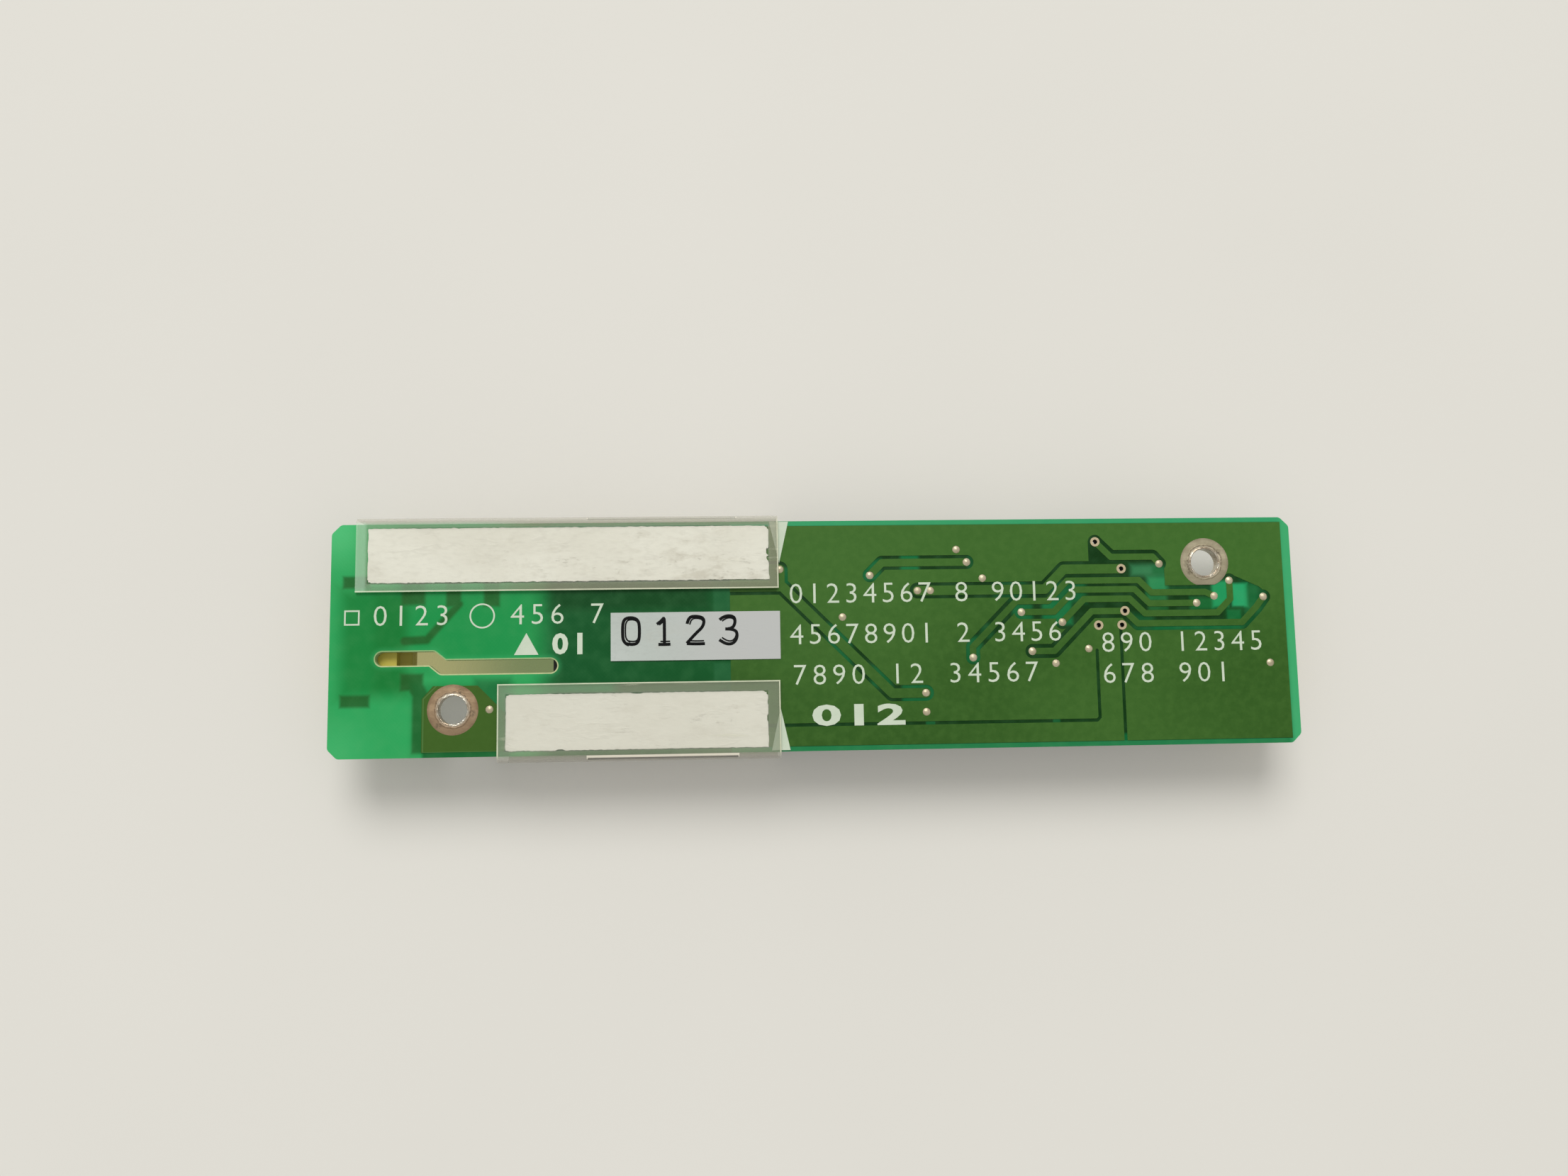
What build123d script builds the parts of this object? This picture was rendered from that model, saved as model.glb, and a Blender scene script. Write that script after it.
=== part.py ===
from build123d import *
import os
from math import atan2, degrees, hypot

# LCD backlight inverter board: a two-sided circuit board with a lamp connector at one end, an input
# connector at the other, and between them a high-voltage transformer under a folded clear film.
#
# The board lies solder side up, on its tallest components. +X runs from the lamp connector to the
# input connector, +Y across the board, and +Z up, out of the solder side. The origin lies on the
# surface that the board rests on, under the middle of the board. All lengths are in millimetres.
# "Depth" is measured down from the board's underside, where the components sit.

# ---------------------------------------------------------------- driving dimensions
board_length = 105.0
board_width = 25.0
board_thickness = 1.2
corner_chamfer = 1.0
corner_round = 0.6  # on the two edges of each chamfer
layout_length = 105.0  # places on the board are written for this outline, and stretch with it
layout_width = 25.0
copper = 0.05  # a copper layer with the lacquer over it

# the isolation slot between the two high-voltage nets
slot_width = 1.5
slot_start = (-46.95, -1.98)
slot_step_start = (-41.7, -1.98)
slot_step_end = (-40.55, -2.93)
slot_end = (-29.2, -2.93)

# plated mounting holes for M3 screws
mount_radius = 1.6
mount_pad_radius = 2.7
mount_edge = 5.0  # hole centre to the long edge of the board
left_mount_x = -39.45
left_mount_via = 3.85  # hole centre to the via beside it
right_mount_x = 42.7
right_pad_flat = 2.5  # the right pad is cut flat this far from its centre, towards -Y

# copper on the solder side
pour_margin = 0.55  # bare laminate along the long edges
pour_end_margin = 1.0  # bare laminate along the input end
pour_left = -9.9  # the copper stops here, clear of the high voltage
gap = 0.35  # isolation gap between two nets
bus_gap = 0.42  # and along the narrow tracks
wide_track = 1.05
bus_track = 0.7

# vias
via_hole = 0.3  # radius
via_pad = 0.43  # radius
via_dome = 0.12
open_via_hole = 0.3
open_via_pad = 0.52

# clear film folded round the transformer end of the board
film = 0.2
film_gap = 0.5  # between the long edge of the board and the film's wall
film_bend = 0.6  # inside radius of each fold
film_left = -49.85
film_right = -4.6
film_notch = -34.75  # the lower flap starts here, clear of the mounting screw
flap_upper_edge = 5.15
flap_lower_edge = -4.85
slit_left = -25.2  # the slit that eases each fold beside the transformer
slit_right = -9.2
slit_lip = 0.3  # how far the flap runs out past the board's edge at the slit
slit_drop = 0.8  # how far the slit reaches down from the top of the flap

# white double-sided tape under each flap, and the lot label
tape = 0.15
tape_upper = ((-48.65, 6.1), (-5.6, 12.05))
tape_lower = ((-33.9, -12.0), (-5.9, -5.95))
label = 0.1
label_corners = ((-22.75, -2.55), (-4.5, 2.65))

# transformer
transformer_place = (-17.1, 0.0)
transformer_width = 15.6
transformer_height = 6.8  # tallest component: it sets how high the board lies
core_length = 20.6
core_yoke = 3.0
core_leg = 2.6
core_top_depth = 1.3
core_post_width = 5.0
core_post_height = 2.0
bobbin_wall = 0.5
flange = 0.6
flange_margin = 0.15  # flange to the yoke
flange_side_gap = 0.4  # flange to the core's legs
secondary_sections = 6
primary_length = 3.4
winding_depth = 0.9
wrap = 0.1
wrap_inset = 0.7  # the wrap is this much narrower than the core, above and below
base_plate = 1.0
terminal_length = 1.45
terminal_gap = 0.15  # terminal block to core, where the wrap passes

# connectors
lamp_length = 6.8
lamp_width = 11.4
lamp_height = 4.4
lamp_wall = 0.75
lamp_y = -0.1
lamp_pitch = 4.0
lamp_heel = 1.35  # low step behind the housing, over the contacts
lamp_heel_width = 10.0
lamp_heel_depth = 1.3
lamp_foot = 2.4
lamp_tab_inset = 2.75  # middle of each clip to the end of the board
lamp_tab_size = (2.7, 1.2)
input_length = 6.4
input_width = 12.2
input_height = 4.0
input_wall = 0.7
input_y = -3.2
input_pitch = 1.25
input_ways = 8

# other components
can_radius = 3.15
can_base_side = 6.6
can_base_height = 1.2
can_places = ((22.6, 7.4), (38.6, -6.9))
choke_place = (13.4, -0.6)
choke_radius = 4.2
choke_height = 5.6
choke_flange = 1.1
choke_hub = 2.1
choke_base = 0.9
resonator_place = (3.2, 3.6)
resonator_size = (6.0, 4.6, 4.0)
end_cap = 0.8
ballast_places = ((-43.5, 7.6), (-39.5, 7.6), (-35.4, 7.6))
ballast_size = (4.6, 2.0, 2.0)
fuse_place = (40.0, -0.9)
fuse_size = (6.1, 2.6, 2.2)
resistor_size = (1.6, 0.8, 0.45)
capacitor_size = (2.0, 1.25, 1.0)
chip_end = 0.35
pad_margin = 0.12  # a solder pad shows this far round its foot


def along(x):
    """A place of the layout along the board, on the board's own length."""
    return x * board_length / layout_length


def across(y):
    return y * board_width / layout_width


def spot(place):
    return along(place[0]), across(place[1])


def spots(places):
    return [spot(place) for place in places]


# ---------------------------------------------------------------- levels and places worked out
board_under = film + transformer_height
board_top = board_under + board_thickness
pour_top = board_top + copper
half_length = board_length / 2
half_width = board_width / 2
left_mount = (along(left_mount_x), mount_edge - half_width)
right_mount = (along(right_mount_x), half_width - mount_edge)
transformer_x, transformer_y = spot(transformer_place)
lamp_mid, input_mid = across(lamp_y), across(input_y)


def hang(x, y, length, width, top, bottom):
    """A block under the board, centred at x and y, from depth top to depth bottom."""
    middle = board_under - (top + bottom) / 2
    return Pos(x, y, middle) * Box(length, width, bottom - top)


def lay(low, high, bottom, height):
    """A flat block from the corner low to the corner high, standing on the level bottom."""
    centre = Pos((low[0] + high[0]) / 2, (low[1] + high[1]) / 2, bottom + height / 2)
    return centre * Box(high[0] - low[0], high[1] - low[1], height)


def strip(points, width):
    """A flat track with round ends and bends along points of the layout."""
    shape, points = Sketch(), spots(points)
    for (x0, y0), (x1, y1) in zip(points, points[1:]):
        turn = degrees(atan2(y1 - y0, x1 - x0))
        piece = SlotCenterToCenter(hypot(x1 - x0, y1 - y0), width)
        shape += Pos((x0 + x1) / 2, (y0 + y1) / 2) * Rot(0, 0, turn) * piece
    return shape


def slab(low, high):
    """A flat rectangle between two corners of the layout."""
    (x0, y0), (x1, y1) = spot(low), spot(high)
    return Pos((x0 + x1) / 2, (y0 + y1) / 2) * Rectangle(x1 - x0, y1 - y0)


def polygon(corners):
    """A flat shape with corners in the layout."""
    return make_face(Polyline(*spots(corners), spot(corners[0])))


def discs(places, radius):
    """Flat discs at places on the board itself."""
    shape = Sketch()
    for place in places:
        shape += Pos(*place) * Circle(radius)
    return shape


def cut_out(face, level, height):
    """The flat shape face, made height thick upwards from the level."""
    return extrude(Pos(0, 0, level) * face, amount=height)


def group(solids):
    """Several separate solids as one node."""
    return Compound(children=[piece for piece in solids])


# ---------------------------------------------------------------- vias and tracks
# Vias filled with solder, and the five that stay open.
filled_vias = [(left_mount[0] + left_mount_via, left_mount[1])] + spots([
    (-4.45, 7.2), (2.3, 1.9), (5.4, 6.45), (10.6, 4.7), (12.0, 4.7),
    (15.0, 9.2), (16.1, 7.8), (17.8, 6.0), (11.2, -6.45), (11.2, -8.5), (16.5, -2.7),
    (22.0, 2.2), (23.05, -2.1), (25.6, -3.45), (26.5, 1.05), (29.3, -1.9), (37.6, 7.4),
    (41.6, 3.0), (43.6, 3.75), (45.4, 5.45), (49.15, 3.6), (49.5, -3.7),
])
open_vias = spots([(30.5, 9.9), (33.3, 6.88), (33.5, 2.2), (30.5, 0.65), (33.1, 0.65)])

# Tracks in the solder-side copper, each a width and the points along its middle.
tracks = [
    (wide_track, [(-4.45, 7.2), (-4.45, 5.55), (7.55, -6.45), (11.2, -6.45)]),
    (bus_track + 0.15, [(5.4, 6.45), (6.75, 7.8), (16.1, 7.8)]),
    (wide_track, [(10.6, 4.7), (24.7, 4.7), (26.88, 6.88), (33.3, 6.88)]),
    (bus_track, [(16.5, -2.7), (16.5, -1.55), (21.45, 3.4), (25.0, 3.4), (27.2, 5.6),
                 (35.2, 5.6), (36.6, 4.2), (42.6, 4.2), (43.6, 3.75)]),
    (bus_track, [(22.0, 2.2), (25.6, 2.2), (28.0, 4.6), (34.7, 4.6), (36.3, 3.0), (41.6, 3.0)]),
    (bus_track, [(26.5, 1.05), (29.0, 3.55), (34.1, 3.55), (35.75, 1.9), (43.9, 1.9),
                 (45.4, 3.4), (45.4, 5.45)]),
    (bus_track, [(23.05, -2.1), (25.5, -2.1), (29.8, 2.2), (33.5, 2.2), (34.9, 0.8),
                 (46.6, 0.8), (48.3, 2.5), (49.15, 3.6)]),
    (bus_track, [(30.5, 9.9), (32.2, 8.2), (36.9, 8.2), (37.6, 7.4)]),
]

# Thin isolation lines, and the two fields that are clear of copper between the tracks.
isolation_lines = [
    [(pour_left, 4.6), (-3.5, 4.6)],
    [(pour_left, 7.95), (-4.45, 7.95)],
    [(pour_left, -9.7), (29.9, -9.7), (30.2, -9.4), (30.2, -2.1)],
    [(32.95, -layout_width / 2), (32.95, 0.3)],
]
clear_fields = [
    [(29.7, 7.6), (29.7, 10.0), (30.5, 9.9), (32.2, 8.2), (33.0, 7.6)],
    [(33.3, 6.3), (33.3, 8.2), (37.2, 8.2), (38.15, 7.6), (38.15, 4.9), (43.4, 4.9), (44.5, 5.5),
     (45.4, 6.2), (46.5, 5.75), (48.7, 4.75), (49.7, 3.9), (49.3, 2.9), (47.0, 0.6), (46.9, 0.25),
     (34.9, 0.25), (33.3, 2.2)],
]


def pour_outline():
    """The outline of the solder-side copper, with the patch round the left mounting hole."""
    top = half_width - pour_margin
    right = half_length - pour_end_margin
    left = along(pour_left)
    plane = Pos((left + right) / 2, 0) * Rectangle(right - left, 2 * top)
    x, y = left_mount
    patch = Polyline(
        (x - 3.25, -top), (x - 3.25, y + 1.2), (x - 2.1, y + 2.55), (x + 2.6, y + 2.55),
        (x + 5.5, y - 0.4), (x + 5.5, -top), (x - 3.25, -top),
    )
    return plane + make_face(patch)


def back_copper_face():
    """The solder-side copper: the pour, cut back round each track, and the tracks themselves."""
    face = pour_outline()
    for corners in clear_fields:
        face -= polygon(corners)
    for line in isolation_lines:
        face -= strip(line, gap)
    ends = [end for _, points in tracks for end in (points[0], points[-1])]
    face -= discs(spots(ends), via_pad + gap)
    for width, points in tracks:
        face -= strip(points, width + 2 * (bus_gap if width == bus_track else gap))
    for width, points in tracks:
        face += strip(points, width)
    return face + lamp_return_patch()


def lamp_return_patch():
    """The wide copper that the lamp return track widens into, under the upper flap."""
    lower, upper = isolation_lines[0], isolation_lines[1]
    return slab((pour_left, lower[0][1] + gap / 2), (upper[1][0], upper[0][1] - gap / 2))


# ---------------------------------------------------------------- board
def slot_face():
    return strip([slot_start, slot_step_start, slot_step_end, slot_end], slot_width)


def circuit_board():
    """The laminate, with its slot, mounting holes and via holes."""
    blank = Rectangle(board_length, board_width)
    blank = chamfer(blank.vertices(), corner_chamfer)
    blank = fillet(blank.vertices(), corner_round)
    blank -= slot_face()
    blank -= discs([left_mount, right_mount], mount_radius)
    blank -= discs(filled_vias, via_hole)
    blank -= discs(open_vias, open_via_hole)
    return cut_out(blank, board_under, board_thickness)


def back_copper():
    face = back_copper_face()
    face -= discs(filled_vias, via_pad)
    face -= discs(open_vias, open_via_pad)
    face -= discs([left_mount, right_mount], mount_pad_radius)
    return cut_out(face, board_top, copper)


def mounting_ring(place, flat=None):
    """The bare pads round a mounting hole, one on each side of the board."""
    pad = Circle(mount_pad_radius)
    if flat:
        pad -= Pos(0, -flat - mount_pad_radius) * Rectangle(3 * mount_pad_radius, 2 * mount_pad_radius)
    pad -= Circle(mount_radius)
    seat = Pos(*place, 0)
    return group([seat * cut_out(pad, level, copper) for level in (board_top, board_under - copper)])


def filled_via():
    """A via filled with solder: a low dome on the solder side and a flat pad underneath."""
    stem = cut_out(Circle(via_hole), board_under, board_thickness)
    under = cut_out(Circle(via_pad), board_under - copper, copper)
    rise = copper + via_dome
    radius = (via_pad**2 + rise**2) / (2 * rise)
    ball = Pos(0, 0, board_top + rise - radius) * Sphere(radius)
    cap = ball & cut_out(Circle(via_pad), board_top, rise)
    return stem + under + cap


def open_via():
    """A plated via whose hole stays open."""
    barrel = open_via_hole - 0.04
    hollow = cut_out(Circle(open_via_hole) - Circle(barrel), board_under, board_thickness)
    pad = Circle(open_via_pad) - Circle(barrel)
    return hollow + cut_out(pad, board_top, copper * 1.6) + cut_out(pad, board_under - copper, copper)


# ---------------------------------------------------------------- film, tape and label
flap_bottom = pour_top + tape
film_wall = half_width + film_gap  # inside face of each side wall


def film_section():
    """The film's section across the board: a flap, a wall, the sheet under the parts, and back."""
    outer_y = film_wall + film
    top = flap_bottom + film
    outside = Pos(0, top / 2) * Rectangle(2 * outer_y, top)
    outside = fillet(outside.vertices(), film_bend + film)
    inside = Pos(0, (film + flap_bottom) / 2) * Rectangle(2 * film_wall, flap_bottom - film)
    inside = fillet(inside.vertices(), film_bend)
    upper, lower = across(flap_upper_edge), across(flap_lower_edge)
    opening = Pos((upper + lower) / 2, top) * Rectangle(upper - lower, 3 * film)
    return outside - inside - opening


def insulation_film():
    left, right, notch = along(film_left), along(film_right), along(film_notch)
    # the section is drawn in a plane across the board, its first axis along +Y
    plane = Plane(origin=(left, 0, 0), x_dir=(0, 1, 0), z_dir=(1, 0, 0))
    sleeve = extrude(plane * film_section(), amount=right - left)
    far = film_wall + 2 * film
    top = flap_bottom + 2 * film
    sleeve -= lay((left - 1, -far), (notch, across(flap_lower_edge)), -1, top + 2)
    edge = half_width + slit_lip
    for side in (-1, 1):
        near, out = sorted((side * edge, side * (far + 1)))
        sleeve -= lay((along(slit_left), near), (along(slit_right), out),
                      flap_bottom + film - slit_drop, top)
    return sleeve


def sheet(corners, thickness):
    """A thin sheet stuck to the solder side, lying on the copper and on the bare laminate."""
    flat = slab(*corners)
    return cut_out(flat - back_copper_face(), board_top, copper) + cut_out(flat, pour_top, thickness)


# ---------------------------------------------------------------- transformer
core_under = transformer_height
transformer_length = core_length + 2 * (terminal_gap + terminal_length)
flange_width = transformer_width - 2 * (core_leg + flange_side_gap)
core_mid = (core_top_depth + core_under) / 2
post_half = core_post_height / 2
window_x = core_length - 2 * core_yoke  # the coil's room between the yokes
flange_reach = core_mid - core_top_depth - 0.1
coil_half = post_half + bobbin_wall


def transformer_core(side):
    """One E-shaped ferrite half. side is -1 for the lamp end and 1 for the input end."""
    half = core_length / 2
    x = transformer_x + side * half / 2
    leg_y = (transformer_width - core_leg) / 2
    core = hang(
        transformer_x + side * (half - core_yoke / 2), transformer_y,
        core_yoke, transformer_width, core_top_depth, core_under,
    )
    for leg in (-1, 1):
        core += hang(x, transformer_y + leg * leg_y, half, core_leg, core_top_depth, core_under)
    core += hang(x, transformer_y, half, core_post_width, core_mid - post_half, core_mid + post_half)
    return core


def flange_stations():
    """Middles of the bobbin's flanges along X, and the winding rooms between them."""
    left = transformer_x - window_x / 2 + flange_margin
    right = transformer_x + window_x / 2 - flange_margin
    room = right - left - primary_length - (secondary_sections + 2) * flange
    section = room / secondary_sections
    walls = [left + flange / 2 + n * (section + flange) for n in range(secondary_sections + 1)]
    walls.append(right - flange / 2)
    return walls, section


def transformer_bobbin():
    """Tube, flanges, base plate and the two terminal blocks, moulded as one piece."""
    walls, _ = flange_stations()
    base_bottom = copper + base_plate
    body = hang(transformer_x, transformer_y, transformer_length, flange_width, copper, base_bottom)
    for side in (-1, 1):
        x = transformer_x + side * (transformer_length - terminal_length) / 2
        body += hang(x, transformer_y, terminal_length, transformer_width - 1, copper, core_under - 1.2)
    left, right = walls[0] - flange / 2, walls[-1] + flange / 2
    tube_x, tube_length = (left + right) / 2, right - left
    outer = core_post_width + 2 * bobbin_wall
    body += hang(tube_x, transformer_y, tube_length, outer, core_mid - coil_half, core_mid + coil_half)
    for x in walls:
        body += hang(x, transformer_y, flange, flange_width, copper, core_mid + flange_reach)
    body -= hang(
        transformer_x, transformer_y, window_x + 0.01, core_post_width,
        core_mid - post_half, core_mid + post_half,
    )
    return body


def winding(x, length, depth):
    """A rectangular coil round the bobbin's tube, centred at x."""
    inner = core_post_width + 2 * bobbin_wall
    outer = hang(x, transformer_y, length, inner + 2 * depth, core_mid - coil_half - depth,
                 core_mid + coil_half + depth)
    outer = fillet(outer.edges().filter_by(Axis.X), depth * 0.8)
    hole = hang(x, transformer_y, length + 1, inner, core_mid - coil_half, core_mid + coil_half)
    return outer - hole


def secondary_winding():
    walls, section = flange_stations()
    rooms = zip(walls[:-2], walls[1:-1])
    return group([winding((a + b) / 2, section, winding_depth) for a, b in rooms])


def primary_winding():
    walls, _ = flange_stations()
    middle = (walls[-2] + walls[-1]) / 2
    return winding(middle, walls[-1] - walls[-2] - flange, winding_depth * 0.8)


def transformer_wrap():
    """The band of tape round the four sides of the core, which holds its halves together."""
    top, bottom = core_top_depth + wrap_inset, core_under - wrap_inset
    band = hang(transformer_x, transformer_y, core_length + 2 * wrap, transformer_width + 2 * wrap,
                top, bottom)
    band = fillet(band.edges().filter_by(Axis.Z), wrap)
    return band - hang(transformer_x, transformer_y, core_length, transformer_width, top, bottom)


def transformer_pins():
    """Flat terminals that come out of each end block and stand on the board's pads."""
    pins = []
    for side, count, pitch in ((-1, 3, 5.6), (1, 5, 2.9)):
        face = transformer_x + side * transformer_length / 2
        for n in range(count):
            y = transformer_y + (n - (count - 1) / 2) * pitch
            pins.append(hang(face + side * 0.35, y, 0.7, 0.8, copper, 0.35))
    return pins


# ---------------------------------------------------------------- connectors
def lamp_connector_housing():
    """A three-way side-entry shell, its mouth flush with the lamp end of the board."""
    x = lamp_length / 2 - half_length
    shell = hang(x, lamp_mid, lamp_length, lamp_width, copper, lamp_height)
    room = lamp_length - 1.5
    shell -= hang(room / 2 - half_length, lamp_mid, room, lamp_width - 2 * lamp_wall,
                  copper + lamp_wall, lamp_height - lamp_wall)
    # the latch window in the face away from the board
    shell -= hang(1.6 - half_length, lamp_mid, 3.2, lamp_width * 0.35, lamp_height - 1.5, lamp_height + 1)
    heel_x = lamp_length - half_length + lamp_heel / 2
    shell += hang(heel_x, lamp_mid, lamp_heel, lamp_heel_width, lamp_heel_depth, lamp_height - 0.6)
    for pin in lamp_connector_pins():
        shell -= pin
    return shell


def lamp_pin_places():
    return [lamp_mid + n * lamp_pitch for n in (-1, 0, 1)]


def lamp_connector_pins():
    """Contacts: a blade in the shell, through its back, and a foot on the board."""
    pins = []
    start = 2.0 - half_length
    back = lamp_length + lamp_heel - half_length
    level = lamp_height / 2
    for y in lamp_pin_places():
        blade = hang((start + back + 0.4) / 2, y, back + 0.4 - start, 0.8, level - 0.2, level + 0.2)
        riser = hang(back + 0.2, y, 0.4, 0.8, copper, level + 0.2)
        foot = hang(back + 1.75 - lamp_foot / 2, y, lamp_foot, 1.0, copper, copper + 0.3)
        pins.append(blade + riser + foot)
    return pins


def lamp_connector_tabs():
    """The two tinned clips that hold the shell to the board."""
    tabs = []
    for side in (-1, 1):
        y = lamp_mid + side * (lamp_width / 2 + 0.15)
        x, (length, width) = lamp_tab_inset - half_length, lamp_tab_size
        plate = hang(x, y, length, 0.3, copper, lamp_height * 0.7)
        foot = hang(x, y + side * (width / 2 - 0.15), length, width, copper, copper + 0.3)
        tabs.append(plate + foot)
    return tabs


def input_connector_housing():
    """A low side-entry shell, its mouth flush with the input end of the board."""
    x = half_length - input_length / 2
    shell = hang(x, input_mid, input_length, input_width, copper, input_height)
    room = input_length - 1.4
    shell -= hang(half_length - room / 2, input_mid, room, input_width - 2 * input_wall,
                  copper + input_wall, input_height - input_wall)
    for side in (-1, 1):
        y = input_mid + side * input_width * 0.3
        shell -= hang(half_length - 1.3, y, 2.6, 1.6, input_height - 1.2, input_height + 1)
    for pin in input_connector_pins():
        shell -= pin
    return shell


def input_pin_places():
    return [input_mid + (n - (input_ways - 1) / 2) * input_pitch for n in range(input_ways)]


def input_connector_pins():
    pins = []
    start = half_length - 1.8
    back = half_length - input_length
    level = input_height / 2
    for y in input_pin_places():
        blade = hang((start + back - 0.3) / 2, y, start - back + 0.3, 0.4, level - 0.2, level + 0.2)
        riser = hang(back - 0.15, y, 0.3, 0.4, copper, level + 0.2)
        foot = hang(back - 0.75, y, 1.5, 0.4, copper, copper + 0.25)
        pins.append(blade + riser + foot)
    return pins


def input_connector_tabs():
    tabs = []
    for side in (-1, 1):
        y = input_mid + side * (input_width / 2 + 0.15)
        x = half_length - input_length * 0.55
        plate = hang(x, y, 2.2, 0.3, copper, input_height * 0.6)
        foot = hang(x, y + side * 0.45, 2.2, 0.9, copper, copper + 0.3)
        tabs.append(plate + foot)
    return tabs


# ---------------------------------------------------------------- moulded packages with leads
def leaded_package(place, turn, size, pitch, per_side, lead_width, reach):
    """A moulded body and its gull-wing leads, before turning with its rows along X."""
    length, width, height = size
    body = hang(0, 0, length, width, copper + 0.12, height)
    body = chamfer(body.edges().filter_by(Axis.Z), 0.12)
    middle = (copper + height) / 2
    leads = []
    for side, count in zip((-1, 1), per_side):
        for n in range(count):
            x = (n - (count - 1) / 2) * pitch
            y = side * width / 2
            shoulder = hang(x, y + side * reach * 0.2, lead_width, reach * 0.4, middle - 0.1, middle + 0.1)
            riser = hang(x, y + side * reach * 0.4, lead_width, 0.2, copper, middle + 0.1)
            foot = hang(x, y + side * reach * 0.7, lead_width, reach * 0.6, copper, copper + 0.2)
            leads.append(shoulder + riser + foot)
    seat = Pos(*spot(place), 0) * Rot(0, 0, turn)
    return seat * body, [seat * lead for lead in leads]


transistor = dict(size=(4.5, 2.5, 1.5), pitch=1.5, per_side=(3, 1), lead_width=0.5, reach=1.0)
transistors = [leaded_package(place, 90, **transistor) for place in ((-0.6, 8.6), (-0.6, -3.4))]
control_chip = leaded_package((27.4, -7.1), 0, (10.0, 4.4, 1.6), 1.27, (8, 8), 0.42, 1.0)
regulator_chip = leaded_package((18.6, -8.2), 0, (5.0, 3.9, 1.6), 1.27, (4, 4), 0.42, 1.05)
sense_chip = leaded_package((36.4, 3.6), 0, (2.9, 1.6, 1.1), 0.95, (3, 2), 0.4, 0.6)
diode = leaded_package((5.6, -8.6), 90, (2.6, 4.3, 2.2), 1.5, (1, 1), 1.5, 0.9)


# Copper on the component side: where its pour starts, the lands under the ballast capacitors
# that carry the lamp current, and the tracks.
component_pour_left = -4.0
ballast_lands = [
    ((-44.5, 3.8), (-42.6, 6.3)), ((-40.3, 3.5), (-38.7, 6.3)), ((-36.3, 3.5), (-34.6, 6.3)),
    ((-44.5, 8.9), (-34.4, 10.6)),
]
component_tracks = [
    (0.8, [(-43.2, 0.0), (-41.9, 0.6), (-39.5, 3.0), (-39.5, 5.0)]),
    (0.8, [(-35.45, 5.0), (-35.45, 3.0), (-32.4, 0.0), (-29.4, 0.0)]),
    (1.0, [(-4.9, 5.8), (-1.9, 8.0)]), (1.0, [(-4.9, -5.8), (-2.2, -4.6)]),
    (0.9, [(0.9, 3.6), (-4.9, 2.9)]), (0.9, [(5.5, 3.6), (9.0, 1.2)]),
    (0.45, [(4.6, 10.4), (7.8, 10.4)]), (0.45, [(8.2, 8.2), (11.0, 10.4)]),
    (0.45, [(16.7, -5.5), (16.5, -2.7)]), (0.45, [(17.97, -5.4), (20.4, -0.4)]),
    (0.45, [(20.4, 1.0), (22.0, 2.2)]), (0.45, [(24.6, 0.5), (26.5, 1.05)]),
    (0.45, [(23.05, -2.1), (24.9, -4.6)]), (0.45, [(27.5, -4.6), (29.3, -1.9)]),
    (0.45, [(28.2, 2.9), (30.4, 4.8)]), (0.45, [(30.4, 7.0), (30.5, 9.9)]),
    (0.45, [(34.6, 10.4), (37.6, 7.4)]), (0.45, [(31.2, 4.8), (33.3, 6.88)]),
    (0.45, [(37.35, 2.6), (41.6, 3.0)]), (0.45, [(36.4, 5.0), (43.6, 3.75)]),
    (0.7, [(43.2, -0.9), (45.4, -3.2)]), (0.45, [(43.9, -8.9), (45.1, -7.6)]),
    (0.45, [(42.7, -3.3), (45.4, -4.4)]), (0.45, [(31.5, -10.1), (33.4, -9.4)]),
]


# ---------------------------------------------------------------- wound and canned parts
def on_place(place):
    return Pos(*spot(place), board_under)


def turned(points):
    """A solid of revolution about Z, from points given as radius and depth."""
    outline = Polyline(*[(r, 0, -d) for r, d in points], (points[0][0], 0, -points[0][1]))
    return revolve(make_face(outline), Axis.Z)


def filter_can(place):
    """The aluminium can, with its crimp above the base and a rounded far end."""
    r = can_radius
    low, high = copper + can_base_height * 0.5, transformer_height + film
    neck = low + 1.0
    can = turned([(0, low), (r, low), (r, neck), (r - 0.3, neck + 0.25), (r - 0.3, neck + 0.45),
                  (r, neck + 0.7), (r, high - 0.4), (r - 0.4, high), (0, high)])
    return on_place(place) * can


def filter_base(place):
    """The moulded base plate that the can stands in, two of its corners cut."""
    plate = Rectangle(can_base_side, can_base_side)
    plate = chamfer(plate.vertices().sort_by(Axis.X)[-2:], 1.2)
    base = extrude(Pos(0, 0, -copper) * plate, amount=-can_base_height)
    base -= Pos(0, 0, -copper - can_base_height * 0.5) * Cylinder(
        can_radius, can_base_height, align=(Align.CENTER, Align.CENTER, Align.MAX))
    for side in (-1, 1):
        base -= Pos(side * can_base_side / 2, 0, -copper) * Box(3.2, 0.8, 0.5)
    return on_place(place) * base


def filter_leads(place):
    x, y = spot(place)
    leads = []
    for side in (-1, 1):
        leads.append(hang(x + side * (can_base_side / 2 - 0.2), y, 2.4, 0.7, copper, copper + 0.2))
    return leads


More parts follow.
